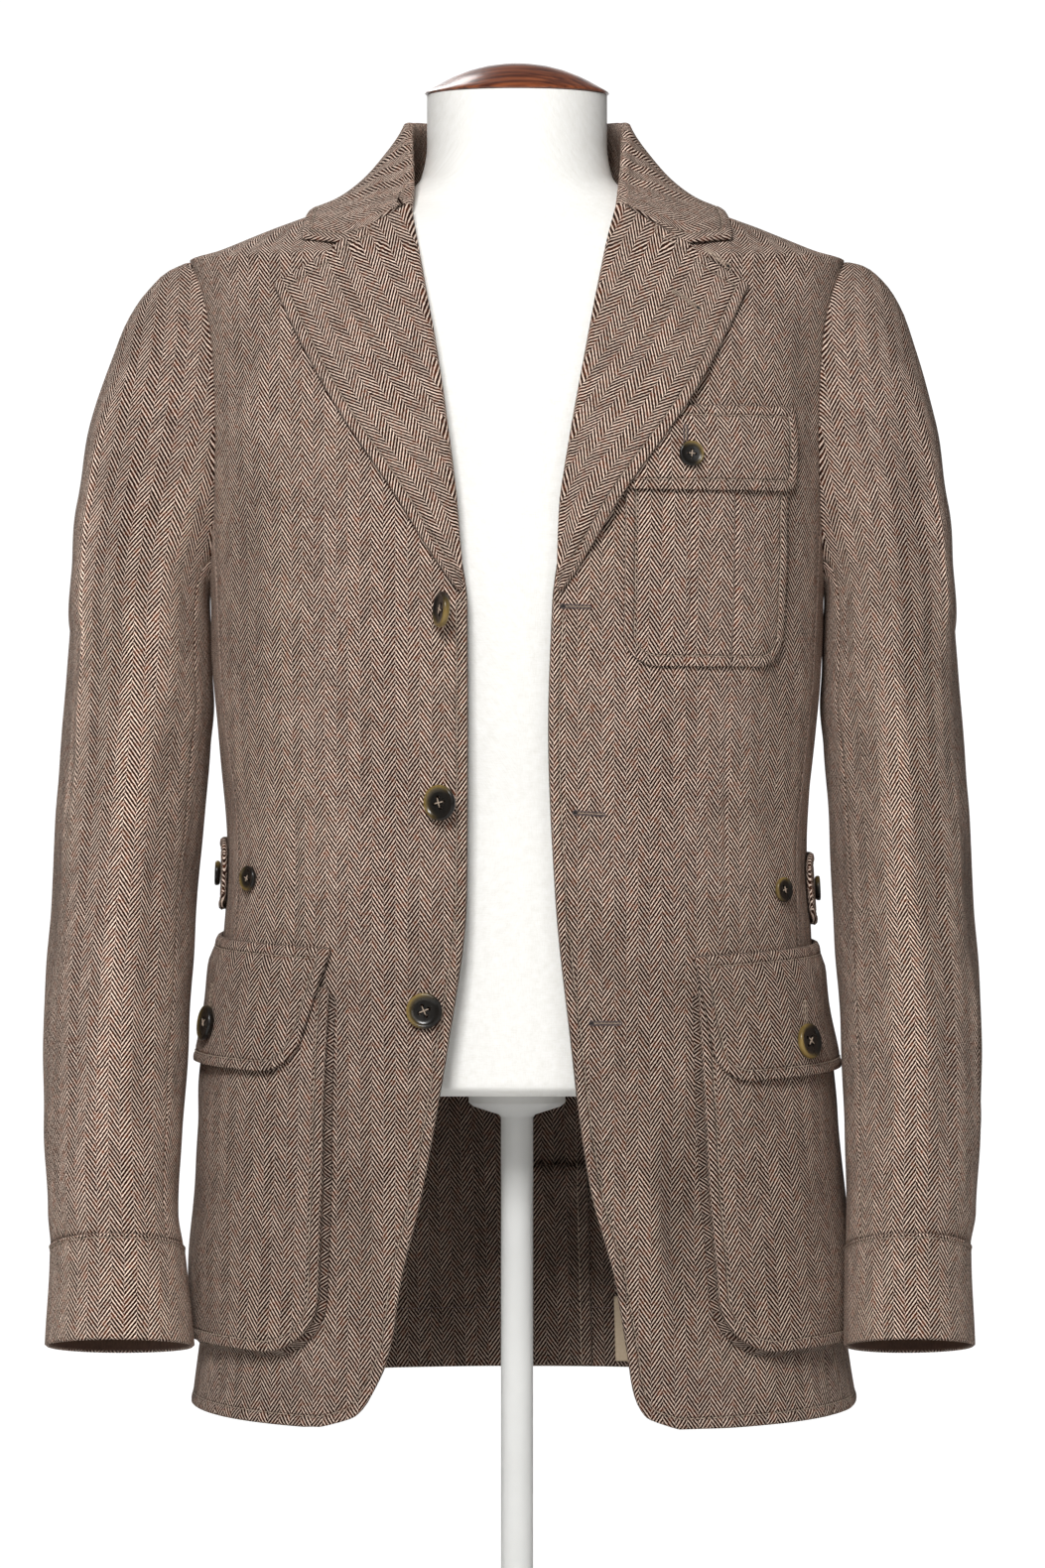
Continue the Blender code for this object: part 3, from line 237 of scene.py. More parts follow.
# How far each forearm and cuff stands out on its outer and inner side
ARM_TRIM = {
    # height, outer, inner
    -1: ((0.180, 0.0027, 0.0060), (0.2415, -0.0015, 0.0), (0.262, 0.0, -0.0025), (0.366, 0.0, -0.0005),
         (0.459, 0.0, -0.0020), (0.520, 0.0, 0.0), (0.622, 0.0, 0.0)),
    1: ((0.180, -0.0003, 0.0030), (0.2415, -0.0038, 0.0030), (0.262, -0.0006, 0.0030), (0.366, 0.0, 0.0022),
        (0.459, 0.0, 0.0010), (0.520, 0.0, 0.0), (0.622, 0.0, 0.0)),
}
ARM_SWAY = -0.0028
ARM_SWAY_NEAR, ARM_SWAY_FAR = 0.206, 0.240
SLEEVE_FOLDS = (
    # ring_angle_degrees, low, high, half_angle_degrees, depth
    (35.0, 0.560, 0.800, 13.0, 0.0030),
    (75.0, 0.520, 0.780, 12.0, -0.0025),
    (20.0, 0.380, 0.520, 16.0, -0.0025),
    (250.0, 0.420, 0.600, 14.0, -0.0030),
    (150.0, 0.400, 0.560, 16.0, -0.0025),
)
# Sharper creases of each sleeve: -1 the wearer's right, 1 the left
SLEEVE_CREASES = {
    -1: (
        # ring_0, z_0, ring_1, z_1, half_degrees, depth
        (56, 0.760, 62, 0.480, 9.0, -0.0014),
        (96, 0.640, 88, 0.300, 12.0, 0.0024),
        (66, 0.560, 62, 0.300, 9.0, -0.0010),
        (124, 0.600, 118, 0.320, 10.0, -0.0024),
        (110, 0.760, 118, 0.560, 9.0, 0.0020),
        (95, 0.740, 104, 0.560, 7.0, -0.0016),
        (70, 0.420, 100, 0.330, 10.0, -0.0016),
        (80, 0.350, 60, 0.262, 9.0, 0.0014),
    ),
    1: (
        (60, 0.750, 54, 0.560, 9.0, -0.0016),
        (98, 0.620, 92, 0.290, 12.0, 0.0024),
        (66, 0.540, 60, 0.290, 9.0, -0.0024),
        (126, 0.600, 120, 0.320, 10.0, -0.0022),
        (84, 0.600, 88, 0.420, 8.0, 0.0018),
        (104, 0.680, 110, 0.500, 8.0, -0.0018),
        (30, 0.420, 18, 0.300, 6.0, 0.0020),
        (20, 0.400, 10, 0.290, 5.0, -0.0016),
        (100, 0.420, 90, 0.280, 9.0, -0.0014),
    ),
}
# Creases on the back of both sleeves
BACK_CREASES = (
    (235, 0.760, 260, 0.600, 9.0, -0.0024),
    (300, 0.560, 330, 0.450, 9.0, -0.0020),
    (290, 0.420, 330, 0.370, 9.0, 0.0016),
)
CREASE_OVER, CREASE_FADE = 0.02, 0.06     # a crease runs on past its ends and fades out
# Pressed creases with a sharp ridge
PRESSED_CREASES = {
    -1: ((41, 0.815, 45, 0.470, 4.0, 0.0015), (35, 0.620, 37, 0.440, 3.0, 0.0010)),
    1: ((45, 0.790, 38, 0.570, 4.0, 0.0015), (38, 0.590, 40, 0.400, 3.0, 0.0008)),
}
PRESSED_FADE_TOP, PRESSED_FADE_LOW = 0.12, 0.10
PRESSED_DEPTH, PRESSED_WIDTH = 0.0015, 1.6
# Ring angles between which each part of a sleeve lies, and where its columns are close, in degrees
UPPER_RING, UNDER_RING = (288, 504), (144, 288)
CREASED_RING = (390, 410)
HEAD_LEAN = 0.024             # the grain leans this far in, up the sleeve's head
SNUG_GAP = 0.0006
SNUG_LOW, SNUG_HIGH = 0.550, 0.588
SLEEVE_FOOT = 0.242
CUFF_TOP, CUFF_FOOT = 0.2415, 0.183
CUFF_PROUD = 0.0008
CUFF_STITCH = 0.0022
CUFF_SLANT = 0.0035           # the cuff's foot is cut this much lower in front and higher behind

# Chest pocket
CHEST_X = 0.0660
CHEST_WIDTH = 0.1090
CHEST_LOW, CHEST_HIGH = 0.5990, 0.7400
CHEST_CORNER = 0.022
PLEAT_HALF = 0.013
PLEAT_RISE, PLEAT_STEP = 0.0008, 0.0014
PLEAT_DENT, PLEAT_DENT_OFF, PLEAT_DENT_WIDTH = 0.0009, 0.0012, 0.0011
CHEST_WALL = 0.0016
CHEST_FLAP_WALL = 0.0022
CHEST_FLAP_X = 0.0620
CHEST_FLAP_WIDTH = 0.1150
CHEST_FLAP_LOW, CHEST_FLAP_HIGH = 0.7060, 0.7570
CHEST_FLAP_CORNER = 0.009
CHEST_FLAP_SETTLE = 0.015

# Hip bellows pockets
HIP_ANGLE = {-1: math.radians(33), 1: math.radians(31.5)}
HIP_WIDTH = 0.1850
HIP_DIP = 0.010
HIP_LOW, HIP_HIGH = 0.1890, 0.4120
HIP_CORNER = 0.036
HIP_DEPTHS = (
    # height, depth
    (0.184, 0.0060),
    (0.234, 0.0075),
    (0.324, 0.0075),
    (0.374, 0.0050),
    (0.399, 0.0028),
    (0.414, 0.0018),
    (0.438, 0.0000),
)
GUSSET_WALL = 0.0013
GUSSET_SPREAD, GUSSET_FOLD = 0.0032, 0.0016
BUNCH_DEPTH, BUNCH_LIMIT, BUNCH_WAVES = 0.0005, 0.0004, 95    # small folds of the gusset at its corners
BUNCH_PLACES, BUNCH_WIDTH = (0.34, 0.66), 0.05                # shares of the gusset's length
HIP_SAG, HIP_SAG_HEIGHT, HIP_SAG_SPREAD = 0.0016, 0.25, 0.05
FLAP_CURL, FLAP_CURL_HEIGHT = 0.0012, 0.018
HIP_FLAP_ANGLE = {-1: math.radians(33.2), 1: math.radians(31)}
HIP_FLAP_WIDTH = {-1: 0.1860, 1: 0.1930}
HIP_FLAP_LOW, HIP_FLAP_HIGH = 0.3590, 0.4360
HIP_FLAP_DROP = {-1: 0.0, 1: 0.0050}      # the left flap is sewn on a little lower
HIP_FLAP_CORNER = 0.020
HIP_FLAP_SLANT = {-1: 0.020, 1: 0.010}
HIP_FLAP_SETTLE = 0.016

# Waist tabs
TAB_ANGLE = math.radians(80)
TAB_LENGTH = 0.0720
TAB_MIDDLE = {-1: 0.4715, 1: 0.4620}
TAB_HEIGHT = 0.0430
TAB_LIE = 0.0013
TAB_CORNER = 0.010

# Vent in the centre back seam
VENT_TOP = 0.2850
VENT_LAP = 0.0430
BINDING_X, BINDING_Z = (0.0590, 0.0685), (0.1600, 0.2010)
BINDING_WALL = 0.0009

# Buttons
BIG_BUTTON = 0.0220
SMALL_BUTTON = 0.0155
BUTTON_LIE = 0.0003
SEWN_BUTTONS = (
    # node, side, angle_degrees, height, diameter, layer, spin_degrees
    ("front_button_2", -1, 10.0, 0.5160, BIG_BUTTON, "front", 150),
    ("front_button_3", -1, 13.0, 0.3890, BIG_BUTTON, "front", 160),
    ("chest_button", 1, 25.9, 0.7270, SMALL_BUTTON, "chest_flap", 40),
    ("hip_button_right", -1, 73.5, 0.3790, BIG_BUTTON, "hip_flap", 175),
    ("hip_button_left", 1, 62.0, 0.3685, BIG_BUTTON, "hip_flap", 185),
    ("tab_button_right", -1, 90.0, TAB_MIDDLE[-1], SMALL_BUTTON, "tab", 140),
    ("tab_button_left", 1, 90.0, TAB_MIDDLE[1], SMALL_BUTTON, "tab", 60),
    ("spare_button_right", -1, 62.5, 0.4690, SMALL_BUTTON, "front", 200),
    ("spare_button_left", 1, 60.7, 0.4620, SMALL_BUTTON, "front", 150),
)
BUTTON_LEANS = {"front_button_2": math.radians(28)}       # it hangs a little sideways on its thread
LOOSE_BUTTON_X, LOOSE_BUTTON_Z = 0.0430, 0.6330
LOOSE_BUTTON_LEAN = math.radians(70)
LOOSE_BUTTON_OUT = 0.0083

# Dress form and stand
FORM_SECTIONS = (
    # height, half_width, front_depth, back_depth, squareness
    (0.3360, 0.1520, 0.0880, 0.0800, 2.2),
    (0.3420, 0.1590, 0.0940, 0.0860, 2.2),
    (0.4100, 0.1590, 0.0940, 0.0860, 2.2),
    (0.4900, 0.1540, 0.0940, 0.0820, 2.2),
    (0.5800, 0.1600, 0.1010, 0.0880, 2.3),
    (0.6700, 0.1680, 0.1080, 0.0980, 2.4),
    (0.7500, 0.1740, 0.1050, 0.1050, 2.4),
    (0.8100, 0.1790, 0.0940, 0.1010, 2.3),
    (0.8440, 0.1830, 0.0820, 0.0930, 2.2),
    (0.8556, 0.1790, 0.0780, 0.0885, 2.1),
    (0.8716, 0.1345, 0.0685, 0.0820, 2.0),
    (0.8893, 0.0780, 0.0570, 0.0680, 2.0),
    (0.9040, 0.0595, 0.0565, 0.0600, 2.0),
    (0.9250, 0.0560, 0.0560, 0.0560, 2.0),
    (0.9550, 0.0560, 0.0560, 0.0560, 2.0),
)
CAP_PROFILE = (
    # radius, height
    (0.0000, 0.9553),
    (0.0555, 0.9553),
    (0.0568, 0.9556),
    (0.0573, 0.9562),
    (0.0568, 0.9570),
    (0.0540, 0.9587),
    (0.0500, 0.9609),
    (0.0450, 0.9637),
    (0.0400, 0.9662),
    (0.0300, 0.9702),
    (0.0200, 0.9729),
    (0.0100, 0.9744),
    (0.0000, 0.9749),
)
POLE_PROFILE = (
    (0.0000, 0.0173),
    (0.0220, 0.0173),
    (0.0220, 0.0265),
    (0.0205, 0.0283),
    (0.0130, 0.0305),
    (0.0100, 0.0335),
    (0.0100, 0.3195),
    (0.0115, 0.3215),
    (0.0270, 0.3265),
    (0.0300, 0.3290),
    (0.0300, 0.3357),
    (0.0000, 0.3357),
)
BASE_PROFILE = (
    (0.0000, 0.0000),
    (0.1480, 0.0000),
    (0.1494, 0.0008),
    (0.1500, 0.0025),
    (0.1500, 0.0088),
    (0.1492, 0.0112),
    (0.1470, 0.0125),
    (0.0600, 0.0168),
    (0.0000, 0.0170),
)

# Sewing
SWELLED_EDGE = 0.0060         # topstitching runs this far inside a free edge
STITCH_PITCH = 0.0036
STITCH_LENGTH = 0.0028
STITCH_THICKNESS = 0.0007
STITCH_LIFT = 0.0001          # stitches lie this far above the cloth
SWELL_RISE, SWELL_DENT, DENT_WIDTH = 0.0005, 0.0004, 0.0012
SEAM_DIP, SEAM_DIP_WIDTH = 0.0005, 0.0016
ALL = slice(None)
BODY_RIPPLE, SLEEVE_RIPPLE, HIP_RIPPLE = 0.0009, 0.0010, 0.0010
FLAP_RIPPLE, SMALL_RIPPLE = 0.0008, 0.0006

# How far the rims of cloth stand out where they are round
FREE_RIM = 0.0009
FACED_RIM, LAPEL_RIM, CUFF_RIM = 0.0010, 0.0011, 0.0006
THIN_RIM = 0.0004


# Curves and points

def smooth_curve(table, column):
    """Return a curve through one column of a table that never overshoots between its rows."""
    rows = np.array(table, dtype=float)
    xs, ys = rows[:, 0], rows[:, column]
    steps = np.diff(xs)
    slopes = np.diff(ys) / steps
    bends = np.concatenate([slopes[:1], np.zeros(len(xs) - 2), slopes[-1:]])
    for k in range(1, len(xs) - 1):
        if slopes[k - 1] * slopes[k] > 0:
            before = 2 * steps[k] + steps[k - 1]
            after = steps[k] + 2 * steps[k - 1]
            bends[k] = (before + after) / (before / slopes[k - 1] + after / slopes[k])

    def curve(x):
        x = np.clip(np.asarray(x, dtype=float), xs[0], xs[-1])
        k = np.clip(np.searchsorted(xs, x) - 1, 0, len(steps) - 1)
        s = (x - xs[k]) / steps[k]
        rise = ys[k] * (1 + 2 * s) * (1 - s) ** 2 + ys[k + 1] * s * s * (3 - 2 * s)
        return rise + steps[k] * s * (1 - s) * (bends[k] * (1 - s) - bends[k + 1] * s)

    return curve


def curves(table):
    """Return one smooth curve for each column after the first."""
    return [smooth_curve(table, column) for column in range(1, len(table[0]))]


BODY_CURVES = curves(SECTIONS)
FORM_CURVES = curves(FORM_SECTIONS)
EDGE_CURVES = {-1: smooth_curve(FRONT_EDGE, 1), 1: smooth_curve(FRONT_EDGE, 2)}
LAPEL_WIDTH = smooth_curve(LAPEL_WIDTHS, 1)
HIP_DEPTH = smooth_curve(HIP_DEPTHS, 1)
HEAD_CURVES = curves(SLEEVE_HEAD)
ARM_CURVES = curves(SLEEVE_ARM[::-1])
CROWN_CURVES = {side: smooth_curve(table, 1) for side, table in CROWN_DROP.items()}
TRIM_CURVES = {side: curves(table) for side, table in ARM_TRIM.items()}
COLLAR_CURVES = curves([(k,) + row for k, row in enumerate(COLLAR)])


def mix(a, b, share):
    return a + (b - a) * share


def unit(vectors):
    return vectors / np.linalg.norm(vectors, axis=-1, keepdims=True)


def bump(x, centre, half_width):
    return np.exp(-((x - centre) / half_width) ** 2)


def ease(share):
    """Go smoothly from 0 to 1."""
    share = np.clip(share, 0, 1)
    return share * share * (3 - 2 * share)


def window(z, low, high):
    """Rise and fall smoothly between two heights."""
    middle, half = (low + high) / 2, (high - low) / 2
    return np.clip(1 - ((z - middle) / half) ** 2, 0, 1) ** 2


def walked(grid, axis):
    """Distance walked along the rows (1) or columns (0) of a grid of points."""
    steps = np.linalg.norm(np.diff(grid, axis=axis), axis=-1)
    start = np.zeros_like(np.take(steps, [0], axis=axis))
    return np.concatenate([start, np.cumsum(steps, axis=axis)], axis=axis)


def spaced(length, step, first=True, last=True):
    """Shares of a length, close together near the ends that carry an edge."""
    close = np.array((0, 0.0010, 0.0024, 0.0040, 0.0055, 0.0068, 0.0084, 0.0110, 0.0150)) / length
    low = close if first else np.array([0.0])
    high = 1 - close[::-1] if last else np.array([1.0])
    middle = np.linspace(low[-1], high[0], max(int((high[0] - low[-1]) * length / step), 2) + 1)
    return np.concatenate([low, middle[1:-1], high])


# Surface of the jacket's body

def section_point(section, angle, z):
    """Point at an angle round a section; 0 is the front, 90 degrees the wearer's left."""
    width, front, back, square = (curve(z) for curve in section)
    sine, cosine = np.sin(angle), np.cos(angle)
    x = width * np.sign(sine) * np.abs(sine) ** (2 / square)
    depth = np.where(cosine > 0, front, back)
    y = -depth * np.sign(cosine) * np.abs(cosine) ** (2 / square)
    return np.stack(np.broadcast_arrays(x, y, z), axis=-1)


def section_level(section, points):
    """How far a point lies out on its section; 1 is on the surface."""
    x, y, z = points[..., 0], points[..., 1], points[..., 2]
    width, front, back, square = (curve(z) for curve in section)
    depth = np.where(y < 0, front, back)
    return np.abs(x / width) ** square + np.abs(y / depth) ** square


def body_slope(points):
    """Gradient of the body's level."""
    step = 1e-5
    slopes = []
    for axis in range(3):
        shift = np.zeros(3)
        shift[axis] = step
        rise = section_level(BODY_CURVES, points + shift) - section_level(BODY_CURVES, points - shift)
        slopes.append(rise / (2 * step))
    return np.stack(slopes, axis=-1)


def body_normal(points):
    return unit(body_slope(points))


def along_line(x, z, line):
    """Share along a line and distance from it."""
    x_0, z_0, x_1, z_1 = line
    long = math.hypot(x_1 - x_0, z_1 - z_0)
    share = ((x - x_0) * (x_1 - x_0) + (z - z_0) * (z_1 - z_0)) / long ** 2
    share = np.clip(share, 0, 1)
    return share, np.hypot(x - mix(x_0, x_1, share), z - mix(z_0, z_1, share))


def ripple(x, z, size):
    """Slight unevenness of pressed cloth."""
    waves = ((61, 23, 0.4), (-37, 71, 1.9), (83, -47, 3.1), (29, 97, 4.4), (113, 67, 0.9))
    return size * sum(np.sin(a * x + b * z + c) for a, b, c in waves) / len(waves)


def by_armhole(y, z):
    """0 at the armhole seam, 1 where the cloth is free of it."""
    half = np.where(y < 0, ARMHOLE_FRONT, ARMHOLE_BACK)
    out = np.hypot(y / half, (z - ARMHOLE_MID) / ARMHOLE_HALF) - 1
    return ease(out * ARMHOLE_FRONT / (0.5 * SEAM_CALM))


def body_fold(points):
    """How far the folds, creases and darts of the body stand out."""
    x, y, z = points[..., 0], points[..., 1], points[..., 2]
    total = ripple(x + 1.3 * y, z, BODY_RIPPLE)
    for across, low, high, half_width, depth, face in FOLDS:
        total = total + depth * bump(x, across, half_width) * window(z, low, high) * (y * face > 0)
    for *line, half_width, depth, face in CREASES:
        share, away = along_line(x, z, line)
        ends = np.sin(math.pi * mix(0.12, 0.88, share))
        total = total + depth * bump(away, 0, half_width) * ends * (y * face > 0)
    return total * by_armhole(y, z)


def body(angle, z, out=0.0):
    """Point on the jacket's outer surface, moved out along its normal."""
    points = section_point(BODY_CURVES, angle, z)
    lift = body_fold(points) + out
    share = np.clip((SKIRT_SWAY_TOP - points[..., 2:]) / (SKIRT_SWAY_TOP - SKIRT_SWAY_LOW), 0, 1)
    swing = SKIRT_SWAY * share * np.array([1, 0, 0])
    return points + body_normal(points) * lift[..., None] + swing


def angle_at_x(x, z):
    """Angle on the front of the body where it is x away from the middle."""
    width, square = BODY_CURVES[0](z), BODY_CURVES[3](z)
    return np.arcsin(np.clip(x / width, 0, 1) ** (square / 2))


def angle_at_y(y, z):
    """Angle on the side of the body where it is y in front (negative) or behind."""
    depth = BODY_CURVES[1](z) if y < 0 else BODY_CURVES[2](z)
    square = BODY_CURVES[3](z)
    return math.acos(-math.copysign((abs(y) / depth) ** (square / 2), y))


def angle_along(start, distance, z):
    """Angle reached by walking a distance round the body at one height, either way."""
    angles = np.linspace(start - 0.3, start + 2.6, 500)
    points = section_point(BODY_CURVES, angles, np.full_like(angles, z))
    gone = np.concatenate([[0], np.cumsum(np.linalg.norm(np.diff(points, axis=0), axis=1))])
    return np.interp(distance + np.interp(start, angles, gone), gone, angles)


def hem_height(angle):
    return mix(HEM_BACK, HEM_FRONT, (1 + np.cos(angle)) / 2)


def armhole_height(y):
    """Lower edge of the armhole at a depth y."""
    half = ARMHOLE_FRONT if y < 0 else ARMHOLE_BACK
    return ARMHOLE_MID - ARMHOLE_HALF * math.sqrt(1 - (y / half) ** 2)


def armhole_angle(z, face):
    """Edge of the armhole at one height, on the front (-1) or the back (1)."""
    half = ARMHOLE_FRONT if face < 0 else ARMHOLE_BACK
    y = face * half * math.sqrt(max(1 - ((z - ARMHOLE_MID) / ARMHOLE_HALF) ** 2, 0))
    return angle_at_y(y, z) if abs(y) > 1e-6 else math.pi / 2


def armhole_foot(angle):
    """Height where a seam at this angle runs into the armhole."""
    z = ARMHOLE_LOW + 0.02
    for _ in range(12):
        y = float(section_point(BODY_CURVES, np.array(angle), np.array(z))[1])
        z = armhole_height(y)
    return z


FRONT_TOP = armhole_foot(FRONT_SEAM_TOP)
BACK_TOP = armhole_foot(BACK_SEAM_TOP)


def normals_of(grid):
    """Normals of a grid of points, from the differences between neighbours."""
    return unit(np.cross(np.gradient(grid, axis=1), np.gradient(grid, axis=0)))


# Materials

def linear(colour):
    """Turn an sRGB hex value into linear red, green, blue and alpha."""
    parts = [int(colour[k:k + 2], 16) / 255 for k in (1, 3, 5)]
    return (*[p / 12.92 if p <= 0.04045 else ((p + 0.055) / 1.055) ** 2.4 for p in parts], 1.0)


def plug(tree, made, inputs):
    """Set the inputs of a node, each to a value or to another node's output."""
    for key, value in inputs.items():
        if isinstance(value, bpy.types.NodeSocket):
            tree.links.new(value, made.inputs[key])
        else:
            made.inputs[key].default_value = value


def node(tree, kind, inputs=None, **settings):
    made = tree.nodes.new(kind)
    for key, value in settings.items():
        setattr(made, key, value)
    plug(tree, made, inputs or {})
    return made


class Shade:
    """A new material; each call adds a node and returns its output."""

    def __init__(self, name):
        self.material = bpy.data.materials.new(name)
        self.material.use_nodes = True
        self.tree = self.material.node_tree

    def add(self, kind, inputs=None, output=0, **settings):
        return node(self.tree, "ShaderNode" + kind, inputs, **settings).outputs[output]

    def cloth(self):
        return self.add("UVMap", output="UV", uv_map="cloth")

    def place(self):
        return self.add("TexCoord", output="Object")

    def field(self, name):
        return self.add("Attribute", output="Fac", attribute_name=name)

    def math(self, operation, *values):
        return self.add("Math", dict(enumerate(values)), operation=operation)

    def vector(self, operation, inputs):
        return self.add("VectorMath", inputs, operation=operation)

    def drawn(self, vector, scale, rotation=(0, 0, 0)):
        return self.add("Mapping", {"Vector": vector, "Scale": scale, "Rotation": rotation})

    def noise(self, vector, scale, detail=2.0, roughness=0.5, output="Fac"):
        inputs = {"Vector": vector, "Scale": scale, "Detail": detail, "Roughness": roughness}
        return self.add("TexNoise", inputs, output)

    def span(self, value, low, high, to_low, to_high, kind="LINEAR"):
        inputs = {"Value": value, "From Min": low, "From Max": high, "To Min": to_low, "To Max": to_high}
        return self.add("MapRange", inputs, interpolation_type=kind)

    def step(self, value, low, high, to_low=0.0, to_high=1.0):
        return self.span(value, low, high, to_low, to_high, "SMOOTHSTEP")

    def blend(self, share, *pair):
        one, other = (linear(colour) if isinstance(colour, str) else colour for colour in pair)
        return self.add("Mix", {0: share, 6: one, 7: other}, 2, data_type="RGBA")

    def relief(self, height, distance, strength, **over):
        return self.add("Bump", {"Height": height, "Distance": distance, "Strength": strength, **over})

    def finish(self, colour, **looks):
        """Give the main shader its colour and looks, and return the material."""
        sockets = {name.replace("_", " "): value for name, value in looks.items()}
        plug(self.tree, self.tree.nodes["Principled BSDF"], {"Base Color": colour, **sockets})
        return self.material


INSIDE_SHADE = 0.48         # painted shade: the inside faces of the cloth are darkened to this share
PRESSED_HIGHLIGHT = 0.7       # painted highlight: the ridge of a pressed crease is painted this much lighter
RIM_SHADE = 0.65           # painted shade: the cloth's rims are darkened to this share of the face's tone
# painted shade: the hip pockets' gussets are darkened to this share, as if in the pockets' shadow
GUSSET_SHADE = 0.5
# painted light: the wearer's right sleeve and cuff, on the key light's side, are painted this much lighter;
# up the sleeve's head the tone goes to HEAD_TONE
SLEEVE_PAINTED_LIGHT = {-1: 1.10, 1: 1.0}
HEAD_TONE, HEAD_TONE_FADE = 0.97, 0.15
FOLD_SHADE = 70           # painted light and shade: change of tone for each metre of a fold's depth
# painted shade: below this height the skirt's cloth is darkened to this share, fading in over this height
SKIRT_SHADE, SKIRT_SHADE_TOP, SKIRT_SHADE_FADE = 0.80, 0.49, 0.08
RIB = 0.0074              # width of one herringbone rib
TWILL_PITCH = 0.0033      # height of one twill line
TWILL_LEAN = 1.42         # how steeply a twill line climbs across a rib
WAVER = 0.0011            # how far the weave wanders
GROOVE = 0.0016           # half the width of the dent along a topstitched line


def make_tweed(name, dark, light, fleck):
    """Woollen herringbone tweed: twill lines that lean left and right in ribs, matt and hairy."""
    shade = Shade(name)
    cloth = shade.cloth()
    wander = shade.vector("SUBTRACT", {0: shade.noise(cloth, 24.0, output="Color"), 1: (0.5, 0.5, 0.5)})
    moved = shade.vector("MULTIPLY_ADD", {0: wander, 1: (WAVER, WAVER, 0), 2: cloth})
    across, along = (shade.add("SeparateXYZ", {"Vector": moved}, axis) for axis in "XY")
    rib = shade.math("FLOOR", shade.math("DIVIDE", across, RIB))
    odd = shade.math("FLOORED_MODULO", rib, 2.0)
    run = shade.math("MULTIPLY_ADD", shade.math("PINGPONG", across, RIB), TWILL_LEAN, along)
    broken = shade.math("MULTIPLY_ADD", odd, 0.5 * TWILL_PITCH, run)
    phase = shade.math("DIVIDE", broken, TWILL_PITCH)
    wave = shade.math("SINE", shade.math("MULTIPLY", phase, 2 * math.pi))
    spot = shade.add("CombineXYZ", {"X": rib, "Y": shade.math("FLOOR", phase)})
    yarn = shade.add("TexWhiteNoise", {"Vector": spot}, "Value", noise_dimensions="2D")
    slub = shade.math("MULTIPLY_ADD", shade.noise(cloth, 640.0, 3.0, 0.65), 2.6, -1.3)
    drift = shade.math("MULTIPLY_ADD", shade.noise(cloth, 42.0, 3.0), 0.30, -0.15)
    height = shade.math("ADD", wave, shade.math("ADD", slub, drift))
    base = shade.blend(shade.step(height, 0.16, 0.70), dark, light)
    rust = shade.step(shade.noise(cloth, 190.0, 4.0, 0.7), 0.46, 0.70, to_high=0.36)
    # the tone attribute brings painted light and shade, multiplied here by the yarn's own random tones
    tone = shade.field("tone")
    for part in (shade.span(yarn, 0, 1, 0.80, 1.18), shade.span(odd, 0, 1, 0.95, 1.05),
                 shade.span(shade.noise(cloth, 9.0, 3.0), 0.3, 0.7, 0.97, 1.03)):
        tone = shade.math("MULTIPLY", tone, part)
    toned = shade.vector("SCALE", {0: shade.blend(rust, base, fleck), 3: tone})
    off_line = shade.math("ABSOLUTE", shade.math("SUBTRACT", shade.field("edge"), SWELLED_EDGE))
    dent = shade.step(off_line, 0.0, GROOVE)
    # painted shade: the cloth is darkened to 0.80 in the groove along a topstitched line
    shaded = shade.vector("SCALE", {0: toned, 3: shade.span(dent, 0, 1, 0.80, 1.0)})
    weave = shade.relief(height, 0.00022, 0.55, Normal=shade.relief(dent, 0.0009, 0.9))
    return shade.finish(shaded, Normal=weave, Roughness=0.92, Specular_IOR_Level=0.10, Sheen_Weight=0.05,
                        Sheen_Roughness=0.55, Sheen_Tint=linear("#cdb9a6"))


def make_thread(name, *colours):
    """Twisted thread, cord or tape: slightly glossy, two tones along each stitch."""
    shade = Shade(name)
    twist = shade.noise(shade.place(), 900.0)
    return shade.finish(shade.blend(twist, *colours), Normal=shade.relief(twist, 0.0002, 0.6), Roughness=0.6)


def make_lining():
    """Brown cotton lining: a fine close twill, dark and slightly silky."""
    shade = Shade("brown_cotton_lining")
    twill = shade.noise(shade.drawn(shade.place(), (900.0, 900.0, 220.0)), 1.0)
    return shade.finish(shade.blend(twill, "#3c2a21", "#6a4d3d"), Roughness=0.7)


def make_horn():
    """Polished buffalo horn: almost black, streaked, amber where the rim is thin."""
    shade = Shade("buffalo_horn")
    place = shade.place()
    streak = shade.noise(shade.drawn(place, (260.0, 260.0, 70.0), (0.3, 0.6, 0.9)), 1.0, 4.0)
    thin = shade.step(shade.noise(place, 55.0, 1.0), 0.40, 0.60, 0.55)
    glow = shade.math("MULTIPLY", shade.field("rim"), thin)
    amber = shade.blend(glow, shade.blend(streak, "#0a0908", "#211d19"), "#8a7340")
    return shade.finish(amber, Roughness=shade.span(streak, 0, 1, 0.20, 0.38), Specular_IOR_Level=0.30,
                        Coat_Weight=0.20, Coat_Roughness=0.12)


def make_linen():
    """Bleached linen stretched over the form: a fine plain weave, matt."""
    shade = Shade("bleached_linen")
    cloth = shade.cloth()
    # threads about 0.7 mm across and 5 mm between slubs
    threads = [shade.noise(shade.drawn(cloth, stretch), 1.0, 1.0)
               for stretch in ((200.0, 1400.0, 1.0), (1400.0, 200.0, 1.0))]
    uneven = shade.math("MULTIPLY_ADD", shade.noise(cloth, 160.0, 4.0, 0.7), 1.6, shade.math("ADD", *threads))
    tint = shade.blend(shade.span(uneven, 1.2, 2.4, 0, 1), "#efede7", "#fdfcf9")
    return shade.finish(tint, Normal=shade.relief(uneven, 0.00012, 0.5), Roughness=0.85,
                        Specular_IOR_Level=0.25)


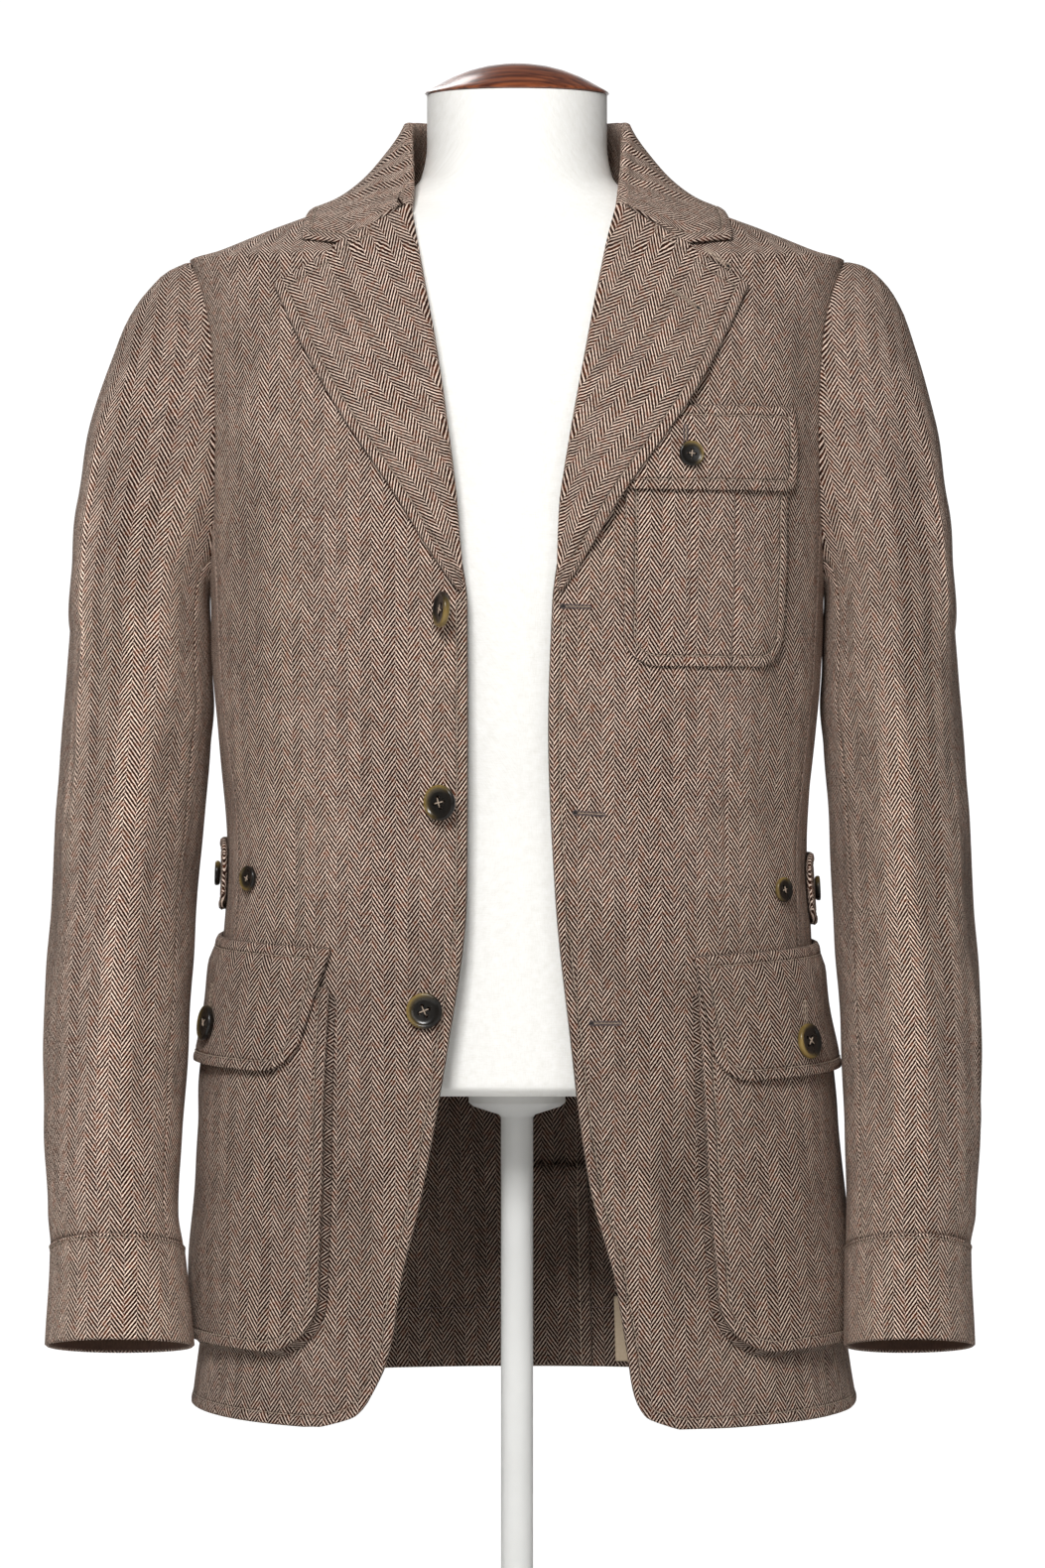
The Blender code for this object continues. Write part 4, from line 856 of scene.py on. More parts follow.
def make_mahogany():
    """Turned mahogany under varnish: red-brown, straight dark grain, glossy."""
    shade = Shade("varnished_mahogany")
    along = shade.drawn(shade.place(), (18.0, 260.0, 260.0))
    grain = shade.step(shade.noise(along, 1.0, 5.0, 0.6), 0.35, 0.66)
    pores = shade.span(shade.noise(along, 4.0), 0.60, 0.74, 0.0, 0.5)
    wood = shade.blend(pores, shade.blend(grain, "#4c1e10", "#9c5531"), "#3a160b")
    return shade.finish(wood, Roughness=0.32, Specular_IOR_Level=0.35, Coat_Weight=0.30, Coat_Roughness=0.12)


def make_paint():
    """White powder-coated steel: a faint orange-peel texture, satin."""
    shade = Shade("white_powder_coat")
    place = shade.place()
    worn = shade.noise(place, 14.0, 4.0)
    peel = shade.relief(shade.noise(place, 420.0), 0.0002, 0.3)
    return shade.finish(shade.blend(worn, "#dfdfdc", "#f2f2f0"), Normal=peel,
                        Roughness=shade.span(worn, 0, 1, 0.32, 0.5))


def make_paper():
    """Paper sweep of the studio: matt, very slightly mottled."""
    shade = Shade("paper_sweep")
    return shade.finish(shade.blend(shade.noise(shade.place(), 3.0), "#f4f4f2", "#ffffff"), Roughness=0.9)


TWEED = make_tweed("herringbone_tweed", "#26120a", "#e5cdbc", "#8a4c30")
SILK = make_thread("buttonhole_silk", "#43383a", "#655759")
# painted shadow: near-black cord beads at each buttonhole's eye stand for the shade inside the eyelet
EYELET_SHADOW = make_thread("painted_eyelet_shadow", "#15100e", "#241b18")
SEWING = make_thread("sewing_thread", "#8b7766", "#c2b09e")
BINDING = make_thread("beige_binding", "#b09a80", "#c9b69d")
LINING = make_lining()
HORN = make_horn()
LINEN = make_linen()
MAHOGANY = make_mahogany()
PAINT = make_paint()


# Making meshes

def link(name, data):
    """Add an object to the scene."""
    thing = bpy.data.objects.new(name, data)
    bpy.context.collection.objects.link(thing)
    return thing


def add_piece(name, mesh, material):
    mesh.materials.append(material)
    return link(name, mesh)


def baked(thing):
    """Mesh of an object with its modifiers applied."""
    graph = bpy.context.evaluated_depsgraph_get()
    return bpy.data.meshes.new_from_object(thing.evaluated_get(graph), depsgraph=graph)


def set_values(mesh, name, values, kind="FLOAT", key="value"):
    """Give each point of a mesh a named value."""
    values = np.asarray(values, dtype=np.float32).ravel()
    mesh.attributes.new(name, kind, "POINT").data.foreach_set(key, values)


def set_cloth_map(mesh, uv):
    layer = mesh.uv_layers.new(name="cloth")
    layer.data.foreach_set("uv", np.ascontiguousarray(uv, dtype=np.float32).ravel())


def corners(grid):
    """The four corners of every cell of a grid."""
    cells = np.stack([grid[:-1, :-1], grid[:-1, 1:], grid[1:, 1:], grid[1:, :-1]], axis=2)
    return cells.reshape(-1, 4, *grid.shape[2:])


def signed_volume(points, quads):
    a, b, c, d = (points[quads[:, k]] for k in range(4))
    return float(np.sum(np.cross(a, b) * c) + np.sum(np.cross(a, c) * d))


def mesh_from(name, points, quads, uv, fields):
    """Make a smooth mesh with a cloth UV map and some named values at its points."""
    if signed_volume(points, quads) < 0:
        quads, uv = quads[:, ::-1], uv[:, ::-1]
    mesh = bpy.data.meshes.new(name)
    mesh.from_pydata(points.tolist(), [], quads.tolist())
    set_cloth_map(mesh, uv)
    for label, values in fields.items():
        set_values(mesh, label, values)
    mesh.shade_smooth()
    return mesh


def painted_fold_shading(fold):
    """Painted light and shade: a fold's crest is painted lighter and its hollow darker."""
    return np.clip(1 + FOLD_SHADE * fold, 0.7, 1.3)


def painted_skirt_shade(z):
    """Painted shade: the jacket's skirt is darkened below the waist, as if it hung out of the light."""
    return mix(1.0, SKIRT_SHADE, ease((SKIRT_SHADE_TOP - z) / SKIRT_SHADE_FADE))


def away_from(spots, beside):
    """Directions from some spots' neighbours to the spots."""
    way = spots - beside
    return way / np.maximum(np.linalg.norm(way, axis=1, keepdims=True), 1e-9)


def shell(name, outer, inner, uv, rounding, edge=1.0, tone=None, closed=False, material=TWEED, lined=False):
    """Make a wall of cloth from two grids, with rims that are round where the edge is free."""
    rows, columns = size = outer.shape[:2]
    count = rows * columns
    index = np.arange(count).reshape(size)
    if closed:
        index = np.concatenate([index, index[:, :1]], axis=1)
        loops = [(index[0], index[1], uv[0], uv[1], rounding[0]),
                 (index[-1][::-1], index[-2][::-1], uv[-1][::-1], uv[-2][::-1], rounding[1])]
    else:
        path, beside = (np.concatenate([index[k, :-1], index[:-1, -1 - k], index[-1 - k, :0:-1],
                                        index[:0:-1, k], index[k, :1]]) for k in (0, 1))
        amount = np.repeat(np.array(rounding)[[0, 3, 1, 2, 0]], [columns - 1, rows - 1] * 2 + [1])
        flat_uv = uv.reshape(-1, 2)
        loops = [(path, beside, flat_uv[path], flat_uv[beside], amount)]
    faces = [corners(index), corners(index)[:, ::-1] + count]
    maps = [corners(uv), corners(uv)[:, ::-1]]
    points = [outer.reshape(-1, 3), inner.reshape(-1, 3)]
    middle = (points[0] + points[1]) / 2
    first = 2 * count
    for path, beside, path_uv, beside_uv, amount in loops:
        p, q = path[:-1], path[1:]
        grown = np.broadcast_to(amount, len(path))[:-1]
        points.append(middle[p] + away_from(points[0][p], points[0][beside[:-1]]) * grown[:, None])
        number = first + np.arange(len(p))
        after = np.roll(number, -1)
        faces.append(np.stack([q, p, number, after], axis=-1))
        faces.append(np.stack([after, number, p + count, q + count], axis=-1))
        over = CLOTH * away_from(path_uv, beside_uv)
        for near in (path_uv, path_uv + over):
            far = near + over
            maps.append(np.stack([near[1:], near[:-1], far[:-1], far[1:]], axis=1))
        first += len(p)
    # the tone values are painted light and shade: the skirt's painted shade unless given, and painted shade
    # on the inside faces and the rims
    tone = painted_skirt_shade(outer[..., 2]) if tone is None else np.broadcast_to(tone, size)
    rims = first - 2 * count
    fields = {"edge": [np.broadcast_to(edge, size).ravel(), np.ones(count), np.zeros(rims)],
              "tone": [tone.ravel(), np.full(count, INSIDE_SHADE), np.full(rims, RIM_SHADE * tone.mean())]}
    fields = {label: np.concatenate(parts) for label, parts in fields.items()}
    mesh = mesh_from(name, np.concatenate(points), np.concatenate(faces), np.concatenate(maps), fields)
    piece = add_piece(name, mesh, material)
    if lined:
        mesh.materials.append(LINING)
        for face in range(len(faces[0]), 2 * len(faces[0])):
            mesh.polygons[face].material_index = 1
    return piece


def finer(line, times=4):
    """Put more points on a line."""
    steps = np.arange(len(line))
    more = np.linspace(0, len(line) - 1, (len(line) - 1) * times + 1)
    return np.stack([np.interp(more, steps, line[:, axis]) for axis in range(3)], axis=-1)


def borders(grid):
    return {"first_row": grid[0], "last_row": grid[-1],
            "first_column": grid[:, 0], "last_column": grid[:, -1]}


def edge_distance(grid, free):
    """Distance from every point of a grid to its nearest free edge, each a border and a slice of it."""
    spots = np.concatenate([finer(borders(grid)[name][part]) for name, part in free])
    flat = grid.reshape(-1, 3)
    nearest = np.full(len(flat), 1.0)
    for part in np.array_split(np.arange(len(flat)), max(len(flat) // 2000, 1)):
        gaps = np.linalg.norm(flat[part, None] - spots[None], axis=2)
        nearest[part] = gaps.min(axis=1)
    return nearest.reshape(grid.shape[:2])


def dress(piece, node_name, slot):
    """Let a piece stand for a solid."""
    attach(piece, "root")
    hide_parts(node_name)


def cut_sheet(grid, uv):
    """Work out the cut of a cloth piece, with its seam allowances, narrower on a small piece; the result is
    not kept.
    """
    cells = corners(grid)
    sides = np.cross(cells[:, 2] - cells[:, 0], cells[:, 3] - cells[:, 1])
    area = float(np.linalg.norm(sides, axis=1).sum() / 2)
    border = sum(float(walked(line[None], 1)[0, -1]) for line in borders(grid).values())
    allowance = min(SEAM_ALLOWANCE, 0.3 * area / border)
    width, length = (float(np.ptp(uv[..., k])) + 2 * allowance for k in (0, 1))
    area = min(area + border * allowance, width * length)


def cloth_piece(node_name, outer, inner, uv, rounding, held, rests_on, **looks):
    """Make the cloth that stands for a solid, and work out its cut."""
    piece = shell(node_name + "_cloth", outer, inner, uv, rounding, **looks)
    dress(piece, node_name, "tweed")
    cut_sheet(outer, uv)


# Stitches
STITCHES = []
FELLED_STITCHES = []


def trace(grid, field, level):
    """Follow a line of equal value across a grid and return its pieces as points."""
    above = field > level
    mixed = corners(above).sum(axis=1)
    links = {}
    for cell in np.flatnonzero((mixed > 0) & (mixed < 4)):
        i, j = divmod(int(cell), field.shape[1] - 1)
        sides = [(0, i, j), (1, i, j + 1), (0, i + 1, j), (1, i, j)]
        ends = [(i, j, i, j + 1), (i, j + 1, i + 1, j + 1), (i + 1, j, i + 1, j + 1), (i, j, i + 1, j)]
        cut = [side for side, (a, b, c, d) in zip(sides, ends) if above[a, b] != above[c, d]]
        for one, two in zip(cut[::2], cut[1::2]):
            links.setdefault(one, []).append(two)
            links.setdefault(two, []).append(one)

    def spot(side):
        way, i, j = side
        a, b = (i, j), ((i, j + 1) if way == 0 else (i + 1, j))
        return mix(grid[a], grid[b], (level - field[a]) / (field[b] - field[a]))

    lines, used = [], set()
    for start in sorted(links, key=lambda side: (len(links[side]) > 1, side)):
        if start in used:
            continue
        chain, here = [], start
        while here is not None:
            used.add(here)
            chain.append(here)
            here = next((side for side in links[here] if side not in used), None)
        if len(chain) > 3:
            lines.append(np.array([spot(side) for side in chain]))
    return lines


def topstitch(grid, edge):
    STITCHES.extend(trace(grid, edge, SWELLED_EDGE))


def thread_tree(material):
    """Geometry nodes that lay one bead of thread at every pitch along a path."""
    tree = bpy.data.node_groups.new("sewn_" + material.name, "GeometryNodeTree")
    sockets = (("Geometry", "INPUT", "Geometry"), ("Pitch", "INPUT", "Float"), ("Length", "INPUT", "Float"),
               ("Thickness", "INPUT", "Float"), ("Geometry", "OUTPUT", "Geometry"))
    for name, way, kind in sockets:
        tree.interface.new_socket(name, in_out=way, socket_type="NodeSocket" + kind)

    def add(kind, inputs, output=0, **settings):
        return node(tree, kind, inputs, **settings).outputs[output]

    given = node(tree, "NodeGroupInput").outputs
    path = add("GeometryNodeMeshToCurve", {"Mesh": given["Geometry"]})
    beads = add("GeometryNodeResampleCurve", {"Curve": path, "Length": given["Pitch"]}, mode="LENGTH")
    aim = add("GeometryNodeInputNamedAttribute", {"Name": "aim"}, "Attribute", data_type="FLOAT_VECTOR")
    turn = add("FunctionNodeAlignRotationToVector", {"Vector": aim}, axis="Z")
    thick = given["Thickness"]
    size = add("ShaderNodeCombineXYZ", {"X": thick, "Y": thick, "Z": given["Length"]})
    bead = add("GeometryNodeMeshUVSphere", {"Segments": 6, "Rings": 4, "Radius": 0.5})
    smooth = add("GeometryNodeSetShadeSmooth", {"Geometry": bead})
    shaped = add("GeometryNodeTransform", {"Geometry": smooth, "Scale": size})
    sewn = add("GeometryNodeInstanceOnPoints", {"Points": beads, "Instance": shaped, "Rotation": turn})
    real = add("GeometryNodeRealizeInstances", {"Geometry": sewn})
    coloured = add("GeometryNodeSetMaterial", {"Geometry": real, "Material": material})
    node(tree, "NodeGroupOutput", {"Geometry": coloured})
    return tree


def sew(name, lines, material, pitch=STITCH_PITCH, length=STITCH_LENGTH, thickness=STITCH_THICKNESS,
        aims=None):
    """Sew along lines of points, with each stitch along its line or along a given aim."""
    aims = aims or [unit(np.gradient(line, axis=0) + 1e-12) for line in lines]
    points, edges = [], []
    for line in lines:
        edges += [(len(points) + i, len(points) + i + 1) for i in range(len(line) - 1)]
        points += line.tolist()
    mesh = bpy.data.meshes.new(name)
    mesh.from_pydata(points, edges, [])
    set_values(mesh, "aim", np.concatenate(aims), "FLOAT_VECTOR", "vector")
    path = link(name + "_path", mesh)
    tree = bpy.data.node_groups.get("sewn_" + material.name) or thread_tree(material)
    sewing = path.modifiers.new("sewing", "NODES")
    sewing.node_group = tree
    sizes = {"Pitch": pitch, "Length": length, "Thickness": thickness}
    for item in tree.interface.items_tree:
        if item.name in sizes:
            sewing[item.identifier] = sizes[item.name]
    done = baked(path)
    bpy.data.objects.remove(path)
    piece = link(name, done)
    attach(piece, "root")


# Body panels
FRONT_GRAIN = 0.5         # angle where the grain of a front or back runs straight up
GRAIN_ANGLES = {"front": FRONT_GRAIN, "side": math.pi / 2, "back": math.pi - FRONT_GRAIN}
ROLL_START, ROLL_GROWS = 0.005, 0.060
CROWD_LOW, CROWD_RISE = 0.66, 0.16
TURN_UP_STEP = 0.0016
FELLED_INSET = 0.003      # felled stitches lie this far inside the turn-up's edge


def seam_roll(distance):
    """How far cloth turns in beside a seam."""
    return -SEAM_DIP * bump(distance, 0, SEAM_DIP_WIDTH)


def swell(edge):
    """Puff of cloth between a topstitched line and its edge."""
    puff = SWELL_RISE * np.sin(math.pi * np.clip(edge / SWELLED_EDGE, 0, 1))
    return puff - SWELL_DENT * bump(edge, SWELLED_EDGE, DENT_WIDTH)


def grain_height(angle, z):
    """Length of cloth up the body to each height, along one angle."""
    heights = np.linspace(HEM_FRONT - 0.01, NECK_ROW, 400)
    line = section_point(BODY_CURVES, np.full_like(heights, angle), heights)
    return np.interp(z, heights, walked(line[None], 1)[0])


def panel(kind, word, angle, z, seams, free, rounding, turn_up=0.0):
    """Make a body panel from angles and heights; seams roll in and free edges are topstitched."""
    flat = body(angle, z)
    across, up = walked(flat, 1), walked(flat, 0)
    gaps = {"first_column": across, "last_column": across[:, -1:] - across, "last_row": up[-1:] - up}
    edge = edge_distance(flat, free)
    out = sum(seam_roll(gaps[seam]) for seam in seams) + swell(edge)
    above = z - hem_height(angle) - HEM_TURN_UP
    wall = CLOTH + turn_up * ease(0.5 - above / TURN_UP_STEP)
    outer, inner = body(angle, z, out), body(angle, z, out - wall)
    starts = {"front": np.abs(flat[:, :1, 0]), "side": -across[:, -1:] / 2, "back": -across[:, -1:]}
    uv = np.stack([starts[kind] + across, grain_height(GRAIN_ANGLES[kind], z)], axis=-1)
    # painted shade on the skirt, and painted light and shade on the folds
    tone = painted_skirt_shade(z) * painted_fold_shading(body_fold(section_point(BODY_CURVES, angle, z)))
    topstitch(body(angle, z, out + STITCH_LIFT), edge)
    cloth_piece(f"{kind}_{word}", outer, inner, uv, rounding, "hung", ["form_torso"], edge=edge, tone=tone)


def lapel_room(z):
    """How far the front's cut stops short of the roll line, where the lapel turns over."""
    return LAPEL_ROOM * ease((z - BREAK_HEIGHT + ROLL_START) / ROLL_GROWS)


def upper_heights(foot):
    """Heights of the rows beside the armhole and over the shoulder."""
    beside = np.linspace(foot, SHOULDER_TIP, 44)[1:-1]
    over = mix(SHOULDER_TIP, NECK_ROW, np.linspace(0, 1, 26) ** 1.3)
    return np.concatenate([beside, over])


def armhole_side(z, face):
    """Outer end of an upper row: the armhole's edge, or the shoulder ridge above it."""
    return armhole_angle(z, face) if z < SHOULDER_TIP else math.pi / 2


def crowd(z):
    """Columns crowd towards the shoulder ridge, where the cloth bends most."""
    return 1 + 0.5 * float(ease((z - CROWD_LOW) / CROWD_RISE))


def dart_shares(shares, line, inner, outer, z):
    """Move the columns of a front so that one of them stays on its dart."""
    spot = (float(angle_at_x(line, np.array(z))) - inner) / (outer - inner)
    return np.where(shares < DART_SHARE, shares / DART_SHARE * spot,
                    1 - (1 - shares) / (1 - DART_SHARE) * (1 - spot))


def make_front(side, word):
    shares = np.unique(np.concatenate([spaced(0.185, 0.0040), DART_SHARE + DART_COLUMNS]))

    def edge_angle(z):
        return float(angle_at_x(EDGE_CURVES[side](z) + lapel_room(z), z))

    angles, heights = [], []
    for q in spaced(0.525, 0.0045, last=False):
        outer, inner = mix(FRONT_SEAM_HEM, FRONT_SEAM_TOP, q), 0.5
        for _ in range(20):
            z = mix(hem_height(inner), FRONT_TOP, q)
            inner = edge_angle(z)
        pull = float(ease((DART_TOP + DART_PULL_OVER - z) / DART_PULL_FADE))
        angle = mix(inner, outer, mix(shares, dart_shares(shares, DART_X[side], inner, outer, z), pull))
        angles.append(angle)
        heights.append(mix(hem_height(angle), FRONT_TOP, q))
    for z in upper_heights(FRONT_TOP):
        angles.append(mix(edge_angle(z), armhole_side(z, -1), 1 - (1 - shares) ** crowd(z)))
        heights.append(np.full(len(shares), z))
    angles, heights = side * np.array(angles), np.array(heights)
    below = slice(0, int(np.sum(heights[:, 0] < BREAK_HEIGHT - 0.006)))
    panel("front", word, angles, heights, ["last_column"], [("first_row", ALL), ("first_column", below)],
          (FREE_RIM, 0, FREE_RIM, 0))


def make_side(side, word):
    shares = spaced(0.16, 0.0050)
    tops = np.array([armhole_foot(angle) for angle in mix(FRONT_SEAM_TOP, BACK_SEAM_TOP, shares)])
    q = spaced(0.50, 0.0050)[:, None]
    angle = mix(mix(FRONT_SEAM_HEM, FRONT_SEAM_TOP, q), mix(BACK_SEAM_HEM, BACK_SEAM_TOP, q), shares)
    panel("side", word, side * angle, mix(hem_height(angle), tops, q),
          ["first_column", "last_column", "last_row"], [("first_row", ALL)], (FREE_RIM, 0, 0, 0))


def make_back(side, word):
    shares = spaced(0.20, 0.0045)
    q = spaced(0.50, 0.0050, last=False)[:, None]
    lower = mix(mix(BACK_SEAM_HEM, BACK_SEAM_TOP, q), math.pi, shares)
    tops = upper_heights(BACK_TOP)
    upper = [mix(armhole_side(z, 1), math.pi, shares ** crowd(z)) for z in tops]
    angles = side * np.concatenate([lower, upper])
    heights = np.concatenate([mix(hem_height(lower), BACK_TOP, q), tops[:, None] * np.ones(len(shares))])
    panel("back", word, angles, heights, ["first_column", "last_column"], [("first_row", ALL)],
          (FREE_RIM, 0, 0, 0), turn_up=TURN_UP_WALL)
    felled = body(angles, heights, -CLOTH - TURN_UP_WALL - STITCH_LIFT)
    FELLED_STITCHES.extend(trace(felled, heights - hem_height(angles), HEM_TURN_UP - FELLED_INSET))


def inside_back(x, z, depths):
    """Points inside the left back, at some depths below its outer surface."""
    return [body(math.pi - angle_at_x(x, z), z, np.full_like(z, -depth)) for depth in depths]


def make_vent():
    """The right back's extension inside the left back, and the beige tape that binds the edge beside it."""
    shares = spaced(0.042, 0.0045, first=False)
    z = mix(HEM_BACK + 0.001, VENT_TOP, spaced(0.127, 0.0050, last=False))[:, None] * np.ones_like(shares)
    x = mix(0.0010, VENT_LAP, shares) * np.ones_like(z)
    top = CLOTH + TURN_UP_WALL + LIE
    outer, inner = inside_back(x, z, (top, top + CLOTH))
    cloth_piece("vent_underlap", outer, inner, np.stack([x, z], axis=-1), (FREE_RIM, 0, 0, FREE_RIM), "hung",
                ["back_left"])
    line = np.full(40, VENT_LAP - SWELLED_EDGE), np.linspace(HEM_BACK + 0.002, VENT_TOP, 40)
    STITCHES.extend(inside_back(*line, (top + CLOTH + STITCH_LIFT,)))
    x = np.linspace(*BINDING_X, 8) * np.ones((24, 1))
    z = np.linspace(*BINDING_Z, 24)[:, None] * np.ones(8)
    top = CLOTH + TURN_UP_WALL + STITCH_LIFT
    outer, inner = inside_back(x, z, (top, top + BINDING_WALL))
    piece = shell("vent_binding", outer, inner, np.stack([x, z], axis=-1), (0.0003,) * 4, material=BINDING)
    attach(piece, "root")


# Lapels and collar
LAPEL_FACES = {}
LAPEL_RAMP, LAPEL_BELLY = 0.035, 0.0012
COLLAR_BEND, COLLAR_BEND_WIDTH = 0.0010, 0.005


def lapel_lift(side, z):
    """Extra height of the left lapel where it lies over the chest pocket and its flap."""
    rise = ease((z - CHEST_FLAP_LOW) / LAPEL_RAMP + 1.4)
    fall = ease((CHEST_FLAP_HIGH - z) / LAPEL_RAMP + 1.2)
    return LAPEL_STACK * rise * fall * (side > 0)


def lapel_line(roll, wall, reach, lift, shares):
    """Middle line of a lapel's section: round the front's edge, then out over the front."""
    low = -CLOTH / 2
    start = LAPEL_ROOM - 4 * SEAM
    turns = np.radians(np.linspace(-90, -270, 13))
    fold = [(start + roll * math.cos(t), low + roll * (1 + math.sin(t))) for t in turns]
    belly = LAPEL_BELLY * np.sin(math.pi * shares) ** 2
    settled = mix(LAPEL_LIE + wall / 2, low + 2 * roll, (1 - shares) ** 2) + lift * ease(shares / 0.5) + belly
    spread = np.stack([mix(start, reach, shares), settled], axis=-1)
    return np.concatenate([fold, spread[1:]])


def make_lapel(side, word):
    """Turn the lapel over the front's edge and lay it on the front."""
    edge_x = EDGE_CURVES[side]
    shares = spaced(0.085, 0.0035, first=False)
    outer, inner, uv = [], [], []
    for share in spaced(0.27, 0.0035, first=False) * 0.98 + 0.02:
        z_in, z_out = mix(BREAK_HEIGHT, GORGE_HEIGHT, share), mix(BREAK_HEIGHT, LAPEL_TIP, share)
        x_in, x_out = edge_x(z_in), edge_x(z_out) + LAPEL_WIDTH(z_out)
        reach = math.hypot(x_out - x_in, z_out - z_in)
        grown = min(0.25 + 3 * share, 1)
        wall = DOUBLE * grown
        lift = lapel_lift(side, mix(z_in, z_out, shares))
        line = lapel_line(LAPEL_ROLL * grown, wall, reach, lift, shares)
        along = np.gradient(line, axis=0)
        step = unit(np.stack([-along[:, 1], along[:, 0]], axis=-1)) * wall / 2
        for rows, spots in ((outer, line - step), (inner, line + step)):
            gone = spots[:, 0] / reach
            z = mix(z_in, z_out, np.clip(gone, 0, 1))
            rows.append(body(side * angle_at_x(mix(x_in, x_out, gone), z), z, spots[:, 1]))
        round_it = reach - walked(line[None], 1)[0]
        uv.append(np.stack([round_it, np.full(len(line), share * LAPEL_LENGTH)], axis=-1))
    outer, inner, uv = np.array(outer), np.array(inner), np.array(uv)
    if np.mean((outer - inner)[:, -1, 1]) > 0:
        outer, inner = inner, outer
    edge = edge_distance(outer, [("last_column", ALL), ("last_row", slice(20, None))])
    push = normals_of(outer)
    push *= -np.sign(push[:, -1:, 1:2])
    outer = outer + push * swell(edge)[..., None]
    LAPEL_FACES[side] = outer[:, 14:]
    cloth_piece("lapel_" + word, outer, inner, uv, (0, FACED_RIM, 0, LAPEL_RIM), "folded", ["front_" + word],
                edge=edge)
    topstitch(outer + push * STITCH_LIFT, edge)


def on_shoulder(x, y, out):
    """Point of the shoulder above (x, y), moved out along its normal."""
    low, high = 0.80, SECTIONS[-1][0]
    for _ in range(40):
        z = (low + high) / 2
        inside = section_level(BODY_CURVES, np.array([x, y, z])) < 1
        low, high = (z, high) if inside else (low, z)
    point = np.array([x, y, low])
    return point + body_normal(point) * out


def clear_of_body(point, out):
    """Move a point of the collar's fall off the body until it lies this far out."""
    for _ in range(4):
        if point[2] < SECTIONS[-1][0]:
            slope = body_slope(point)
            steep = np.linalg.norm(slope)
            gap = (section_level(BODY_CURVES, point) - 1) / steep
            point = point + slope / steep * max(out - gap, 0)
    return point


def collar_line(side, station):
    """Section of the collar at one station: neck seam, crease and outer edge of the fall."""
    row = [float(curve(station)) for curve in COLLAR_CURVES]
    near_end = min(max(station - len(COLLAR) + 2, 0), 1) ** 2
    slide = COLLAR_SLIDE[side] * near_end
    seam, crease = (np.array(part) + (slide, 0, 0) for part in (row[0:3], row[3:6]))
    edge, sag = on_shoulder(row[6], row[7], COLLAR_LIE + DOUBLE), row[8]
    away = edge - crease
    away[2] = 0
    away = away / np.linalg.norm(away) * COLLAR_ROLL
    down = np.array([0, 0, -COLLAR_ROLL])
    stand_top, fall_top = crease - away + down, crease + away + down
    points = [seam, mix(seam, stand_top, 0.5), stand_top]
    points += [crease - 0.7 * away + 0.3 * down, crease, crease + 0.7 * away + 0.3 * down]
    for share, (x, z) in zip((0.0, 0.22, 0.48, 0.74, 1.0), COLLAR_END):
        dip = np.array([0, 0, sag * 4 * share * (1 - share)])
        on_front = body(angle_at_x(x + slide * (1 - share), z), np.array(z), np.array(COLLAR_LIE + DOUBLE))
        spot = mix(mix(fall_top, edge, share) - dip, on_front, near_end)
        points.append(clear_of_body(spot, COLLAR_LIE + DOUBLE))
    return np.array(points)


def through(points, shares):
    """Smooth line through points, read at shares of its length."""
    gone = walked(points[None], 1)[0]
    table = [(g, *p) for g, p in zip(gone, points)]
    return np.stack([curve(shares * gone[-1]) for curve in curves(table)], axis=-1)


def make_collar():
    stations = np.linspace(0, len(COLLAR) - 1, 17)
    shares = spaced(0.125, 0.0030, first=False)
    fine = spaced(0.24, 0.0032, first=False)
    halves = []
    for side in (-1, 1):
        lines = np.array([through(collar_line(side, station), shares) for station in stations])
        half = np.array([through(lines[:, k], fine) for k in range(lines.shape[1])]).swapaxes(0, 1)
        halves.append(half * np.array([side, 1, 1]))
    outer = np.concatenate([halves[0][:0:-1], halves[1]])
    middle = len(fine) - 1
    inside = normals_of(outer)
    inside *= np.sign(inside[middle, 0, 1])
    fall = slice(-20, None)
    edge = edge_distance(outer, [("last_column", ALL), ("first_row", fall), ("last_row", fall)])
    inner = outer + inside * DOUBLE
    outer = outer - inside * (swell(edge) - COLLAR_BEND * bump(edge, 0, COLLAR_BEND_WIDTH))[..., None]
    length = walked(outer, 0) - walked(outer, 0)[middle]
    length = mix(length[:, -20:-19], length, 0.5)
    uv = np.stack([length, -walked(outer, 1)], axis=-1)
    cloth_piece("collar", outer, inner, uv, (FACED_RIM, FACED_RIM, 0, LAPEL_RIM), "folded",
                ["back_left", "back_right"], edge=edge)
    topstitch(outer - inside * STITCH_LIFT, edge)


# Sleeves
HUG_TURN = 30             # the sleeve's head leaves the body by this turn
CUFF_POINTS = 110


def side_of_body(y, z):
    """How far out the side of the body is at a depth and height."""
    width, front, back, square = (curve(z) for curve in BODY_CURVES)
    depth = np.where(y < 0, front, back)
    return width * (1 - np.minimum(np.abs(y) / depth, 1) ** square) ** (1 / square)


def head_ring(side, turn_degrees, ring):
    """Ring of the sleeve head on a plane turned out round the underarm."""
    reach, inner_reach, front, back = (float(curve(turn_degrees)) for curve in HEAD_CURVES)
    reach += float(CROWN_CURVES[side](turn_degrees))
    turn = math.radians(turn_degrees)
    radius = mix(inner_reach, reach, (1 + np.cos(ring)) / 2)
    y = -np.where(np.sin(ring) > 0, front, back) * np.sin(ring)
    z = PIVOT_Z + radius * math.cos(turn)
    hug = max(1 - turn_degrees / HUG_TURN, 0) ** 2
    x = PIVOT_X + radius * math.sin(turn) + (side_of_body(y, z) + SEAM - PIVOT_X) * hug
    return np.stack([x, y, z], axis=-1)


